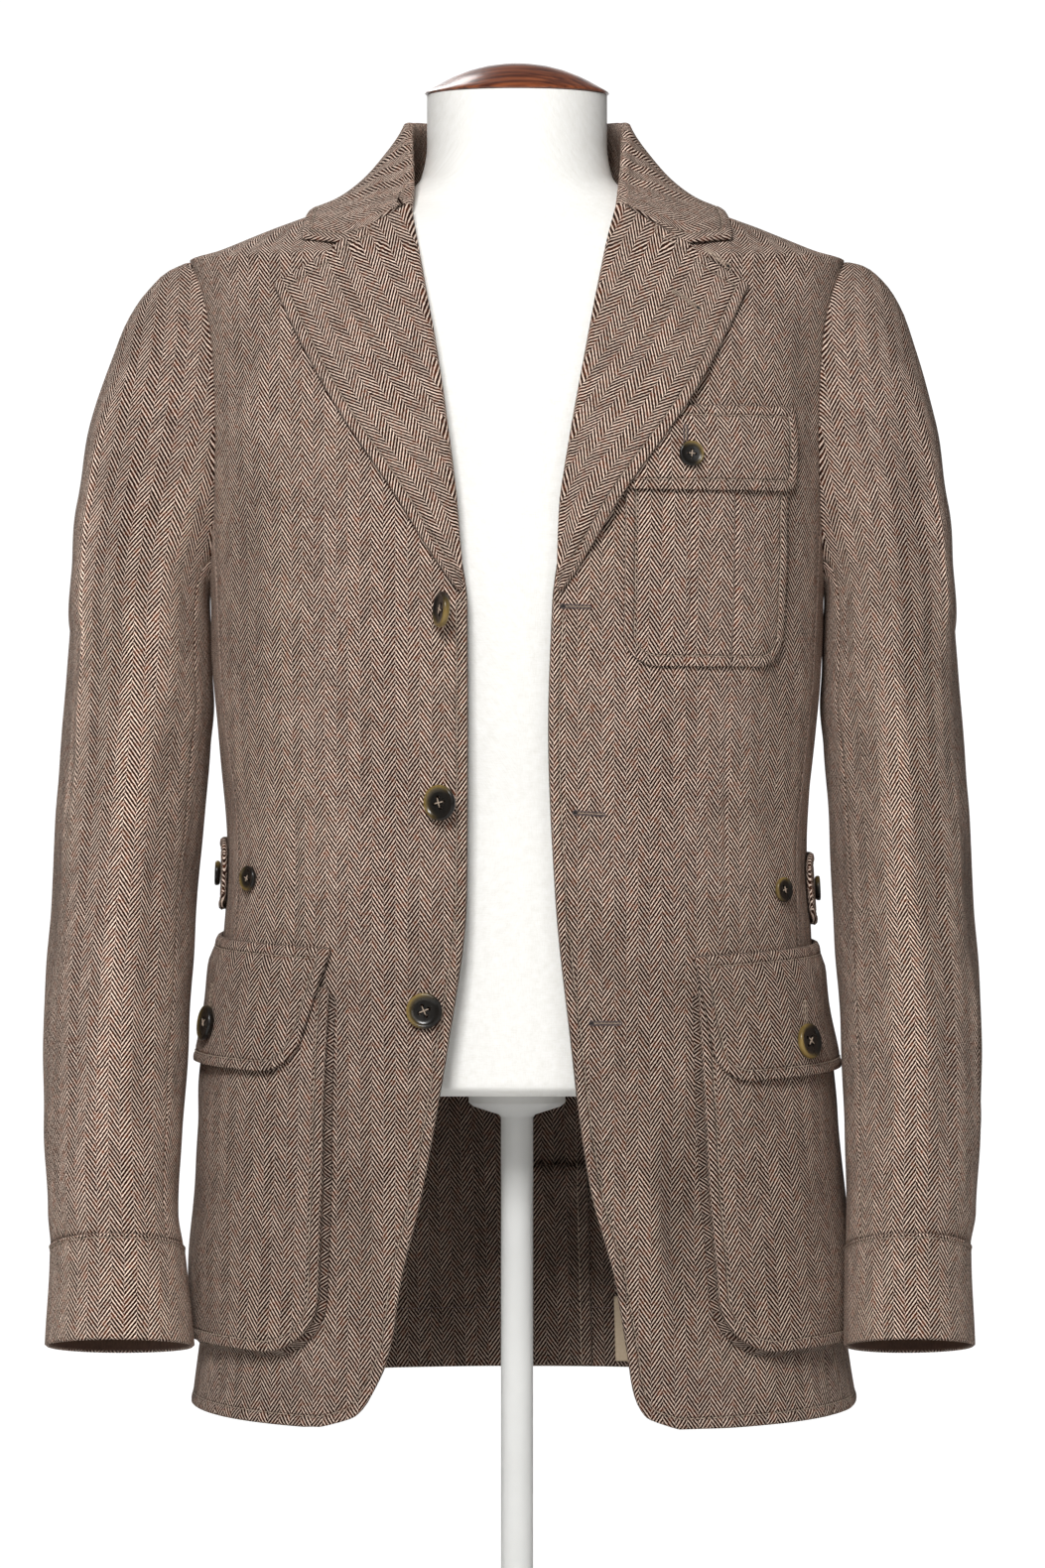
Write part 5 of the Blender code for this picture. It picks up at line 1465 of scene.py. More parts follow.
def arm_ring(side, height, ring):
    """Ring of the arm, tilted with the forearm."""
    x, y, half_width, half_depth, tilt = (float(curve(height)) for curve in ARM_CURVES)
    outer, inner = (float(curve(height)) for curve in TRIM_CURVES[side])
    tilt, front = math.radians(tilt), half_depth * np.sin(ring)
    x = x + half_width * np.cos(ring) + outer * (1 + np.cos(ring)) / 2 - inner * (1 - np.cos(ring)) / 2
    return np.stack([x, y - front * math.cos(tilt), height + front * math.sin(tilt)], axis=-1)


def snug(make_ring, side, place, ring):
    """Ring of the sleeve whose inner side lies against the body, below the underarm."""
    points, inner = make_ring(side, place, ring), make_ring(side, place, np.array([math.pi]))[0]
    gap = inner[0] - float(side_of_body(inner[1], inner[2])) - SNUG_GAP
    closed = max(gap, 0) * float(ease((inner[2] - SNUG_LOW) / (SNUG_HIGH - SNUG_LOW)))
    points[:, 0] -= closed * ((1 - np.cos(ring)) / 2) ** 2
    return points


def off_crease(degrees, z, ring_0, z_0, ring_1, z_1):
    """Turn from a crease that runs from one place on a sleeve to another, in degrees."""
    share = np.clip((z - z_0) / (z_1 - z_0), 0, 1)
    return (degrees - mix(ring_0, ring_1, share) + 180) % 360 - 180


def pressed_ends(z, z_0, z_1):
    return ease((z_0 - z) / PRESSED_FADE_TOP) * ease((z - z_1) / PRESSED_FADE_LOW)


def sleeve_fold(side, ring, points):
    """How far the folds and creases of a sleeve stand out."""
    degrees, z = np.degrees(ring), points[..., 2]
    total = ripple(points[..., 1] * 1.4, z, SLEEVE_RIPPLE)
    for middle, low, high, half, depth in SLEEVE_FOLDS:
        turn = off_crease(degrees, z, middle, low, middle, high)
        total = total + depth * bump(turn, 0, half) * window(z, low, high)
    for *line, half, depth in SLEEVE_CREASES[side] + BACK_CREASES:
        top = ease((line[1] + CREASE_OVER - z) / CREASE_FADE)
        low = ease((z - line[3] + CREASE_OVER) / CREASE_FADE)
        total = total + depth * bump(off_crease(degrees, z, *line), 0, half) * top * low
    for *line, half, depth in PRESSED_CREASES[side]:
        ridge = np.exp(-np.abs(off_crease(degrees, z, *line)) / half)
        total = total + depth * ridge * pressed_ends(z, *line[1::2])
    return total


def pressed_lines(side, ring, z):
    """1 on the ridge of a pressed crease, 0 away from it."""
    total = np.zeros_like(z)
    for *line, _, depth in PRESSED_CREASES[side]:
        ridge = bump(off_crease(np.degrees(ring), z, *line), 0, PRESSED_WIDTH) * pressed_ends(z, *line[1::2])
        total = np.maximum(total, ridge * depth / PRESSED_DEPTH)
    return total


def hang(points, side):
    """Put an arm on its side and swing it sideways, more and more away from the body."""
    points = points * np.array([side, 1, 1])
    share = np.clip((np.abs(points[..., :1]) - ARM_SWAY_NEAR) / (ARM_SWAY_FAR - ARM_SWAY_NEAR), 0, 1)
    return points + ARM_SWAY * share * np.array([1, 0, 0])


def sleeve_grid(side, first, last):
    """Outer points, normals, ring angles, levels and folds of one part of a sleeve."""
    degrees = mix(first, last, spaced(math.radians(last - first) * 0.055, 0.0038))
    if first < CREASED_RING[0] < last:
        apart = (degrees < CREASED_RING[0] - 1) | (degrees > CREASED_RING[1] + 1)
        degrees = np.sort(np.concatenate([degrees[apart], np.arange(*CREASED_RING, 1.2)]))
    ring = np.radians(np.concatenate([degrees[:1] - 1, degrees, degrees[-1:] + 1]))
    turns = 90 * spaced(0.16, 0.0032, last=False) ** 1.15
    heights = np.linspace(PIVOT_Z - 0.006, SLEEVE_FOOT, 100)
    head = [snug(head_ring, side, turn, ring) for turn in turns]
    grid = np.array(head + [snug(arm_ring, side, z, ring) for z in heights])
    level = grid[..., 2].copy()
    level[len(turns):] = heights[:, None]
    out = normals_of(grid)
    row, middle = 80, np.array([0.24, 0])     # a row of the arm, and the arm's middle
    out *= np.sign(np.sum(out[row, :, :2] * (grid[row, :, :2] - middle)))
    fold = ease(walked(grid, 0) / SEAM_CALM) * sleeve_fold(side, ring, grid)
    grid = grid + out * fold[..., None]
    return grid[:, 1:-1], out[:, 1:-1], ring[1:-1], level[:, 1:-1], fold[:, 1:-1]


def sleeve_grain(grid, level, ring):
    """Cloth map of a sleeve: round it at each level from a line down its front, and up it from the foot."""
    columns = np.arange(grid.shape[1])
    spots = [[np.interp(-level, -level[:, k], grid[:, k, axis]) for k in columns] for axis in (0, 1)]
    spots = np.stack(spots, axis=-1)
    gone = walked(spots, 0)
    round_it = gone[columns, :, columns].T
    crown = int(np.argmin(np.abs(ring - 2 * math.pi)))
    if crown < len(ring) - 1:
        lines = ARM_CURVES[0](np.minimum(level, PIVOT_Z)) - HEAD_LEAN * ease((level - PIVOT_Z) / 0.20)
        for i, k in np.ndindex(level.shape):
            x, walk = spots[crown:, i, k, 0], gone[crown:, i, k]
            round_it[i, k] += max(lines[i, k] - x[0], 0) - np.interp(-lines[i, k], -x, walk)
    else:
        round_it = round_it - gone[-1]
    over_crown = 0.5 * bump(np.degrees(ring), 360, 45)
    steps = np.diff(grid, axis=0)
    rises = np.hypot(steps[..., 2], over_crown * np.linalg.norm(steps[..., :2], axis=-1))
    rise = np.concatenate([np.zeros((1, len(columns))), np.cumsum(rises[::-1], axis=0)])[::-1]
    return np.stack([round_it, rise], axis=-1)


def make_sleeve(side, word):
    for kind, ends in (("upper", UPPER_RING), ("under", UNDER_RING)):
        grid, out, ring, level, fold = sleeve_grid(side, *ends)
        across, down, height = walked(grid, 1), walked(grid, 0), grid[..., 2]
        roll = seam_roll(across) + seam_roll(across[:, -1:] - across) + seam_roll(down)
        uv = sleeve_grain(grid, level, ring)
        tucked = grid - HEAD_TUCK * bump(down, 0, HEAD_TUCK_WIDTH)[..., None] * np.array([1, 0, 0])
        outer, inner = (hang(tucked + out * (roll - wall)[..., None], side) for wall in (0, CLOTH))
        # painted light on the wearer's right sleeve, painted light and shade on the folds, and a painted
        # highlight on pressed creases
        tone = mix(SLEEVE_PAINTED_LIGHT[side], HEAD_TONE, ease((height - PIVOT_Z) / HEAD_TONE_FADE)) * painted_fold_shading(fold)
        tone = tone * (1 + PRESSED_HIGHLIGHT * pressed_lines(side, ring, height))
        cloth_piece(f"{kind}_sleeve_{word}", outer, inner, uv, (0, 0, 0, 0), "hung",
                    ["front_" + word, "back_" + word], tone=tone, lined=True)


def make_cuff(side, word):
    """Faced cuff with a topstitched upper edge and a slanted foot."""
    ring = np.linspace(0, 2 * math.pi, CUFF_POINTS, endpoint=False)
    heights = mix(CUFF_FOOT, CUFF_TOP, spaced(0.0585, 0.0032))
    grid = np.array([arm_ring(side, z, ring) for z in heights])
    grid[..., 2] -= CUFF_SLANT * np.sin(ring) * np.linspace(1, 0, len(heights))[:, None]
    out = normals_of(np.concatenate([grid[:, -1:], grid, grid[:, :1]], axis=1))[:, 1:-1]
    out *= np.sign(out[0, 0, 0])
    up, across = walked(grid, 0), walked(grid, 1)
    edge = up[-1:] - up + SWELLED_EDGE - CUFF_STITCH
    lift = CUFF_PROUD + swell(edge) + ripple(grid[..., 1], grid[..., 2], SMALL_RIPPLE)
    round_it = np.concatenate([across, across[:, -1:] + 0.0024], axis=1)
    uv = np.stack([round_it - round_it[0, CUFF_POINTS // 2], np.append(up, up[:, :1], axis=1)], axis=-1)
    outer, inner = hang(grid + out * lift[..., None], side), hang(grid + out * (CUFF_PROUD - DOUBLE), side)
    cloth_piece("cuff_" + word, outer, inner, uv, (LAPEL_RIM, CUFF_RIM), "stretched",
                ["upper_sleeve_" + word], edge=edge, tone=SLEEVE_PAINTED_LIGHT[side], closed=True, lined=True)
    lifted = outer + out * np.array([side, 1, 1]) * STITCH_LIFT
    ends = np.append(np.arange(CUFF_POINTS), 0)
    topstitch(lifted[:, ends], edge[:, ends])


# Pockets, flaps and tabs
FOLD_COLUMNS = np.array((-0.0030, -0.0020, -0.0013, -0.0007, 0, 0.0007, 0.0013, 0.0020, 0.0030))
POCKET_EDGES = ("first_row", "first_column", "last_column")


def corner_steps(corner, length, step, points):
    """Distances along a patch: close together round its corner, then even."""
    arc = corner * (1 - np.cos(np.linspace(0, math.pi / 2, points)))
    return np.concatenate([arc[:-1], mix(corner, length, spaced(length - corner, step, first=False))])


def corner_width(corner, distance):
    """Half width of a round corner at a distance from its end."""
    return math.sqrt(corner ** 2 - max(corner - distance, 0) ** 2)


def patch(start, width, low, high, corner, slant=0.0, step=0.0038, folds=()):
    """Angles, heights and distances of a fine patch on the body with round lower corners."""
    shares = [spaced(width, step), *[fold / width + FOLD_COLUMNS / width for fold in folds]]
    shares = np.unique(np.concatenate(shares))
    spots = []
    for lift in corner_steps(corner, high - low, step, 14):
        inset = corner - corner_width(corner, lift) + slant * (1 - lift / (high - low))
        distance = mix(inset, width - inset, shares)
        spots.append((angle_along(start, distance, low + lift), np.full(len(shares), low + lift), distance))
    return np.array(spots).swapaxes(0, 1)


def lay_patch(node_name, side, spots, under, wall, rests_on, edges=POCKET_EDGES, rise=0.0, dip=0.0):
    """Lay a patch of cloth on the body, with swelled and topstitched edges."""
    angles, heights, along = spots

    def at(out):
        return body(side * angles, heights - dip, out)

    edge = edge_distance(at(under + wall), [(name, ALL) for name in edges])
    top = under + wall + rise + swell(edge)
    uv = np.stack([along, heights], axis=-1)
    cloth_piece(node_name, at(top), at(under), uv, (0.45 * wall,) * 4, "laid", [rests_on], edge=edge)
    topstitch(at(top + STITCH_LIFT), edge)


def chest_flap_under(heights, over_pleat):
    """How far out the underside of the chest flap lies."""
    share = np.clip((CHEST_FLAP_HIGH - heights) / CHEST_FLAP_SETTLE, 0, 1)
    return LIE + share * (CHEST_WALL + LIE + 1.5 * PLEAT_RISE * over_pleat)


def make_chest_pocket():
    middle = CHEST_WIDTH / 2
    start = float(angle_at_x(CHEST_X, (CHEST_LOW + CHEST_HIGH) / 2))
    spots = patch(start, CHEST_WIDTH, CHEST_LOW, CHEST_HIGH, CHEST_CORNER,
                  folds=(middle - PLEAT_HALF, middle + PLEAT_HALF))
    _, heights, along = spots
    off = np.abs(along - middle)
    pleat = PLEAT_RISE * ease((PLEAT_HALF - off) / PLEAT_STEP + 0.5)
    pleat = pleat - PLEAT_DENT * bump(off, PLEAT_HALF + PLEAT_DENT_OFF, PLEAT_DENT_WIDTH)
    lay_patch("chest_pocket", 1, spots, np.full_like(heights, LIE), CHEST_WALL, "front_left",
              rise=pleat + ripple(along, heights, SMALL_RIPPLE))
    start = float(angle_at_x(CHEST_FLAP_X, CHEST_FLAP_HIGH))
    spots = patch(start, CHEST_FLAP_WIDTH, CHEST_FLAP_LOW, CHEST_FLAP_HIGH, CHEST_FLAP_CORNER)
    _, heights, along = spots
    under = chest_flap_under(heights, bump(along, CHEST_FLAP_WIDTH / 2, 2 * PLEAT_HALF))
    lay_patch("chest_flap", 1, spots, under, CHEST_FLAP_WALL, "chest_pocket",
              ("first_row", "last_row", "last_column"), ripple(along, heights, FLAP_RIPPLE))


def hip_dip(along):
    """How far a hip pocket is let down at a distance from its front edge."""
    return HIP_DIP * (1 - along / HIP_WIDTH)


def hip_flap_under(heights):
    """How far out the underside of a hip flap lies."""
    share = np.clip((HIP_FLAP_HIGH - heights) / HIP_FLAP_SETTLE, 0, 1)
    return LIE + share * (HIP_DEPTH(heights) + CLOTH + LIE)


def make_hip_pocket(side, word):
    spots = patch(HIP_ANGLE[side], HIP_WIDTH, HIP_LOW, HIP_HIGH, HIP_CORNER, step=0.0044)
    _, heights, along = spots
    sag = HIP_SAG * bump(along, HIP_WIDTH / 2, HIP_SAG_SPREAD) * bump(heights, HIP_SAG_HEIGHT, HIP_SAG_SPREAD)
    lay_patch("hip_pocket_" + word, side, spots, LIE + HIP_DEPTH(heights), CLOTH, "front_" + word,
              rise=sag + ripple(along + side, heights, HIP_RIPPLE), dip=hip_dip(along))
    make_gusset(side, word)
    spots = patch(HIP_FLAP_ANGLE[side], HIP_FLAP_WIDTH[side], HIP_FLAP_LOW, HIP_FLAP_HIGH, HIP_FLAP_CORNER,
                  HIP_FLAP_SLANT[side])
    _, heights, along = spots
    curl = FLAP_CURL * bump(heights, HIP_FLAP_LOW, FLAP_CURL_HEIGHT)
    lay_patch("hip_flap_" + word, side, spots, hip_flap_under(heights), DOUBLE, "hip_pocket_" + word,
              ("first_row", "last_row", "first_column", "last_column"),
              curl + ripple(along - side, heights, HIP_RIPPLE), hip_dip(along) + HIP_FLAP_DROP[side])


def pocket_outline(spread):
    """Distances and heights along the sides and foot of a hip pocket, moved out by a spread."""
    radius = HIP_CORNER + spread
    left, right = HIP_CORNER, HIP_WIDTH - HIP_CORNER
    foot = HIP_LOW + HIP_CORNER
    turns = np.linspace(0, math.pi / 2, 16)
    sides = np.linspace(HIP_HIGH - 0.004, foot, 44)
    spots = [(-spread, z) for z in sides[:-1]]
    spots += [(left - radius * math.cos(t), foot - radius * math.sin(t)) for t in turns]
    spots += [(x, HIP_LOW - spread) for x in np.linspace(left, right, 28)[1:-1]]
    spots += [(right + radius * math.sin(t), foot - radius * math.cos(t)) for t in turns]
    spots += [(HIP_WIDTH + spread, z) for z in sides[-2::-1]]
    return np.array(spots)


def make_gusset(side, word):
    """Strip of cloth between the front and the edge of a hip pocket, bunched at its corners."""
    faces = []
    for inset in (0.0, GUSSET_WALL):
        rows = []
        for share in np.linspace(0, 1, 12):
            wave = GUSSET_FOLD * math.sin(2 * math.pi * share) * (1 - share)
            fold = GUSSET_SPREAD * (1 - share) ** 1.3 + wave
            spots = pocket_outline(fold - inset)
            gone = np.arange(len(spots)) / len(spots)
            at_corner = sum(bump(gone, place, BUNCH_WIDTH) for place in BUNCH_PLACES)
            bunch = BUNCH_DEPTH * np.sin(BUNCH_WAVES * gone) * at_corner * math.sin(math.pi * share)
            angles = np.array([float(angle_along(HIP_ANGLE[side], x, z)) for x, z in spots])
            out = LIE + (HIP_DEPTH(spots[:, 1]) - SEAM - LIE) * share + np.maximum(bunch, -BUNCH_LIMIT)
            rows.append(body(side * angles, spots[:, 1] - hip_dip(spots[:, 0]), out))
        faces.append(np.array(rows))
    outer, inner = faces
    uv = np.stack([walked(outer, 1), walked(outer, 0)], axis=-1)
    cloth_piece("hip_gusset_" + word, outer, inner, uv, (THIN_RIM, THIN_RIM, 0, 0), "folded",
                ["front_" + word], tone=GUSSET_SHADE)


def make_tab(side, word):
    shares = mix(-1, 1, spaced(TAB_HEIGHT, 0.0040))
    spots = []
    for distance in corner_steps(TAB_CORNER, TAB_LENGTH, 0.0040, 10):
        z = TAB_MIDDLE[side] + (TAB_HEIGHT / 2 - TAB_CORNER + corner_width(TAB_CORNER, distance)) * shares
        angles = [float(angle_along(TAB_ANGLE, distance, height)) for height in z]
        spots.append((angles, z, np.full(len(z), distance)))
    spots = np.array(spots).swapaxes(0, 1)
    lay_patch("waist_tab_" + word, side, spots, np.full_like(spots[1], TAB_LIE), DOUBLE, "side_" + word)


# Buttons and buttonholes
BUTTON_PROFILE = (
    # radius share, height share
    (0.00, 0.000), (0.80, 0.000), (0.90, 0.020), (0.97, 0.065), (1.00, 0.120), (0.995, 0.160),
    (0.96, 0.195), (0.90, 0.212), (0.83, 0.206), (0.77, 0.180), (0.70, 0.160), (0.55, 0.150), (0.00, 0.148),
)
HOLE_SPREAD = 0.105       # share of the diameter from the centre to a hole's centre, each way
HOLE_RADIUS = 0.058
BUTTON_STITCHES = (
    # x_0, y_0, x_1, y_1, in hole spreads, and rise
    (-1, -1, 1, 1, 0.0),
    (-1, 1, 1, -1, 0.0004),
    (-1.06, -0.9, 1.1, 0.9, 0.0001),
)
BUTTON_THREAD = 0.00042
BUTTON_THREAD_TOP = 0.168     # share of the diameter


def into_mesh(bm, name):
    """Turn an edit mesh into a new mesh."""
    mesh = bpy.data.meshes.new(name)
    bm.to_mesh(mesh)
    bm.free()
    return mesh


def turned_mesh(name, profile, sides):
    """Turn a profile of (radius, height) pairs that starts and ends on the axis."""
    bm = bmesh.new()
    rings = []
    for radius, z in profile:
        turns = np.linspace(0, 2 * math.pi, sides, endpoint=False) if radius > 1e-6 else [0]
        rings.append([bm.verts.new((radius * math.cos(t), radius * math.sin(t), z)) for t in turns])
    for low, high in zip(rings[:-1], rings[1:]):
        for j in range(sides):
            k = (j + 1) % sides
            spots = [low[j % len(low)], low[k % len(low)], high[k % len(high)], high[j % len(high)]]
            bm.faces.new(list(dict.fromkeys(spots)))
    bmesh.ops.recalc_face_normals(bm, faces=bm.faces)
    mesh = into_mesh(bm, name)
    mesh.shade_smooth()
    return mesh


def make_button_mesh(diameter):
    """Horn button: a rolled rim, a shallow dish and four holes right through."""
    profile = [(diameter / 2 * r, diameter * h) for r, h in BUTTON_PROFILE]
    disc = link("disc", turned_mesh("disc", profile, 56))
    spread, radius = HOLE_SPREAD * diameter, HOLE_RADIUS * diameter
    bm = bmesh.new()
    for x, y in ((-1, -1), (-1, 1), (1, -1), (1, 1)):
        spot = Matrix.Translation((x * spread, y * spread, 0.1 * diameter))
        bmesh.ops.create_cone(bm, cap_ends=True, segments=16, radius1=radius, radius2=radius, depth=diameter,
                              matrix=spot)
    drill = link("drill", into_mesh(bm, "drill"))
    cut = disc.modifiers.new("holes", "BOOLEAN")
    cut.operation, cut.object, cut.solver = "DIFFERENCE", drill, "EXACT"
    mesh = baked(disc)
    bpy.data.objects.remove(disc)
    bpy.data.objects.remove(drill)
    return mesh


def add_capsule(bm, start, end, radius, slot):
    """Add a short round stitch between two points."""
    start, end = Vector(start), Vector(end)
    turn = (end - start).to_track_quat("Z", "Y").to_matrix().to_4x4()
    size = Matrix.Diagonal((radius, radius, (end - start).length / 2, 1))
    place = Matrix.Translation((start + end) / 2) @ turn @ size
    made = bmesh.ops.create_uvsphere(bm, u_segments=8, v_segments=6, radius=1.0, matrix=place)
    for vert in made["verts"]:
        for face in vert.link_faces:
            face.material_index = slot
            face.smooth = True


def finish_button(mesh, diameter):
    """Sew crossed stitches through the holes and note where the rim is thin, on the +X side."""
    bm = bmesh.new()
    bm.from_mesh(mesh)
    spread, top = HOLE_SPREAD * diameter, BUTTON_THREAD_TOP * diameter
    for x_0, y_0, x_1, y_1, rise in BUTTON_STITCHES:
        ends = ((x * spread, y * spread, top + rise) for x, y in ((x_0, y_0), (x_1, y_1)))
        add_capsule(bm, *ends, BUTTON_THREAD, 1)
    bm.to_mesh(mesh)
    bm.free()
    spots = np.array([vert.co for vert in mesh.vertices])
    rim = np.hypot(spots[:, 0], spots[:, 1]) / (diameter / 2)
    rim = ease((rim - 0.62) / 0.38) * ease(0.45 + 0.75 * np.cos(np.arctan2(spots[:, 1], spots[:, 0])))
    set_values(mesh, "rim", rim)
    mesh.set_sharp_from_angle(angle=math.radians(60))
    return mesh


BUTTON_MESHES = {size: finish_button(make_button_mesh(size), size) for size in (BIG_BUTTON, SMALL_BUTTON)}


def put_button(node_name, spot, facing, diameter, spin):
    mesh = BUTTON_MESHES[diameter].copy()
    turn = Vector(facing).normalized().to_track_quat("Z", "Y").to_matrix().to_4x4()
    mesh.transform(Matrix.Translation(Vector(spot)) @ turn @ Matrix.Rotation(math.radians(spin), 4, "Z"))
    piece = add_piece(node_name + "_horn", mesh, HORN)
    mesh.materials.append(SEWING)
    dress(piece, node_name, "horn")


def layer_top(layer, side, z):
    """How far out the top of a layer lies from the body at each height."""
    drop = hip_dip(HIP_FLAP_WIDTH[side] / 2) + HIP_FLAP_DROP[side]
    tops = {"front": np.full_like(z, SEAM),
            "tab": np.full_like(z, TAB_LIE + DOUBLE),
            "hip_flap": hip_flap_under(z + drop) + DOUBLE,
            "chest_flap": chest_flap_under(z, 1.0) + CHEST_FLAP_WALL}
    return tops[layer]


def make_buttons():
    turn, rise = 0.03, 0.004      # how far apart the surface is read for the way a button faces
    for node_name, side, degrees, z, diameter, layer, spin in SEWN_BUTTONS:
        angles = side * (math.radians(degrees) + np.array([0, -turn, turn, 0, 0]))
        heights = z + np.array([0, 0, 0, -rise, rise])
        top = layer_top(layer, side, heights) + BUTTON_LIE
        spots = section_point(BODY_CURVES, angles, heights)
        spots = spots + body_normal(spots) * top[:, None]
        lean = BUTTON_LEANS.get(node_name, 0.0)
        facing = unit(np.cross(spots[2] - spots[1], spots[4] - spots[3]) * side) - (math.tan(lean), 0, 0)
        out = top[:1] + 0.35 * diameter * math.sin(lean)
        put_button(node_name, body(angles[:1], heights[:1], out)[0], facing, diameter, spin)
    z = np.array(LOOSE_BUTTON_Z)
    angle = -angle_at_x(LOOSE_BUTTON_X, z)
    normal = body_normal(section_point(BODY_CURVES, angle, z))
    facing = normal * math.cos(LOOSE_BUTTON_LEAN) + np.array([-1, 0, 0.1]) * math.sin(LOOSE_BUTTON_LEAN)
    put_button("front_button_1", body(angle, z, np.array(LOOSE_BUTTON_OUT)), facing, BIG_BUTTON, -60)


# Buttonholes: where the eyelet is, and where the slit ends
BUTTONHOLES = (
    # side, eye_x, eye_z, end_x, end_z, layer
    (1, 0.0278, 0.6350, 0.0446, 0.6345, "front"),
    (1, 0.0355, 0.5095, 0.0530, 0.5085, "front"),
    (1, 0.0455, 0.3815, 0.0630, 0.3815, "front"),
    (1, 0.1010, 0.7330, 0.1010, 0.7440, "chest_flap"),
    (1, 0.1292, 0.8441, 0.1155, 0.8545, "lapel"),
    (1, 0.1107, 0.8175, 0.0954, 0.8280, "lapel"),
    (1, 0.1690, 0.3700, 0.1690, 0.3930, "hip_flap"),
    (-1, 0.1800, 0.3800, 0.1800, 0.4030, "hip_flap"),
)
SILK_HOLES = 4            # the first few are sewn in silk, the others in thin thread
EYE_RADIUS, SLIT_START = 0.0014, 0.002
HOLE_HALF, HOLE_END = 0.0010, 0.0006
HOLE_LIFT, EYE_LIFT, LAPEL_LIFT = 0.0002, 0.0003, 0.0005
AIM_STEP = 0.0005         # how far apart the surface is read for the way a stitch lies
HOLE_STITCH = {"pitch": 0.00055, "length": 0.0011, "thickness": 0.00045}


def keyhole(length, across):
    """Outline of a keyhole buttonhole along X, with the directions its stitches lie in."""
    turns = np.linspace(math.radians(35), math.radians(325), 14)
    slit = np.linspace(SLIT_START, length, 12)
    points = [(length, across)] + [(x, across) for x in slit[-2::-1]]
    points += [(EYE_RADIUS * math.cos(t), EYE_RADIUS * math.sin(t)) for t in turns]
    points += [(x, -across) for x in slit] + [(length, -across), (length + HOLE_END, 0), (length, across)]
    points = np.array(points)
    way = np.gradient(points, axis=0)
    return points, unit(np.stack([-way[:, 1], way[:, 0]], axis=-1))


def on_layer(side, layer, flat, out):
    """Points on top of a layer at some places (x, z) of the front."""
    x, z = flat[:, 0], flat[:, 1]
    if layer != "lapel":
        return body(side * angle_at_x(x, z), z, layer_top(layer, side, z) + out)
    faces = LAPEL_FACES[side].reshape(-1, 3)
    away = np.hypot(side * faces[None, :, 0] - x[:, None], faces[None, :, 2] - z[:, None])
    share = 1 / (away + 0.0004) ** 4
    y = (share * faces[None, :, 1]).sum(axis=1) / share.sum(axis=1)
    return np.stack([side * x, y - out - LAPEL_LIFT, z], axis=-1)


def make_buttonholes():
    lines, aims, slits, eyes = [], [], [], []
    for side, eye_x, eye_z, end_x, end_z, layer in BUTTONHOLES:
        eye, slit = np.array([eye_x, eye_z]), np.array([end_x - eye_x, end_z - eye_z])
        length = float(np.linalg.norm(slit))
        way = slit / length
        axes = np.array([way, (-way[1], way[0])])
        points, ways = keyhole(length, HOLE_HALF)
        flat = eye + points @ axes
        line = on_layer(side, layer, flat, HOLE_LIFT)
        lines.append(line)
        aims.append(unit(on_layer(side, layer, flat + AIM_STEP * ways @ axes, HOLE_LIFT) - line))
        slit_line, eye_line = np.linspace(SLIT_START, length, 30), np.linspace(-HOLE_END, HOLE_END, 4)
        slits.append(on_layer(side, layer, eye + slit_line[:, None] * way, HOLE_LIFT))
        eyes.append(on_layer(side, layer, eye + eye_line[:, None] * way, EYE_LIFT))
    sew("buttonhole_stitches", lines[:SILK_HOLES], SILK, aims=aims[:SILK_HOLES], **HOLE_STITCH)
    sew("fine_buttonhole_stitches", lines[SILK_HOLES:], SEWING, aims=aims[SILK_HOLES:], **HOLE_STITCH)
    sew("buttonhole_lips", slits, SEWING, pitch=0.0007, length=0.0010, thickness=0.0006)
    # painted shadow: dark beads stand for the shade inside each eyelet
    sew("buttonhole_eye_shadows", eyes, EYELET_SHADOW, pitch=0.0004, length=0.0016, thickness=0.0014)


# Dress form

def make_torso():
    """The form's torso, closed above and below by fans of triangles."""
    rows = np.concatenate([np.linspace(0.3360, 0.3420, 5), np.linspace(0.345, 0.845, 110),
                           np.linspace(0.8465, 0.9550, 70)])
    turns = np.linspace(0, 2 * math.pi, 160, endpoint=False)
    rings = np.array([section_point(FORM_CURVES, turns, np.full_like(turns, z)) for z in rows])
    closed = np.concatenate([rings, rings[:, :1]], axis=1)
    uv = np.stack([walked(closed, 1), walked(closed, 0)], axis=-1)
    count = rings.shape[0] * rings.shape[1]
    index = np.arange(count).reshape(rings.shape[:2])
    index = np.concatenate([index, index[:, :1]], axis=1)
    points = np.concatenate([rings.reshape(-1, 3), [rings[0].mean(axis=0), rings[-1].mean(axis=0)]])
    caps = [(int(a), int(b), count) for a, b in zip(index[0][1:], index[0][:-1])]
    caps += [(int(a), int(b), count + 1) for a, b in zip(index[-1][:-1], index[-1][1:])]
    mesh = bpy.data.meshes.new("form_torso_linen")
    mesh.from_pydata(points.tolist(), [], corners(index).tolist() + caps)
    set_cloth_map(mesh, np.concatenate([corners(uv).reshape(-1, 2), np.zeros((len(caps) * 3, 2))]))
    bm = bmesh.new()
    bm.from_mesh(mesh)
    bmesh.ops.recalc_face_normals(bm, faces=bm.faces)
    bm.to_mesh(mesh)
    bm.free()
    mesh.shade_smooth()
    mesh.set_sharp_from_angle(angle=math.radians(50))
    dress(add_piece("form_torso_linen", mesh, LINEN), "form_torso", "linen")


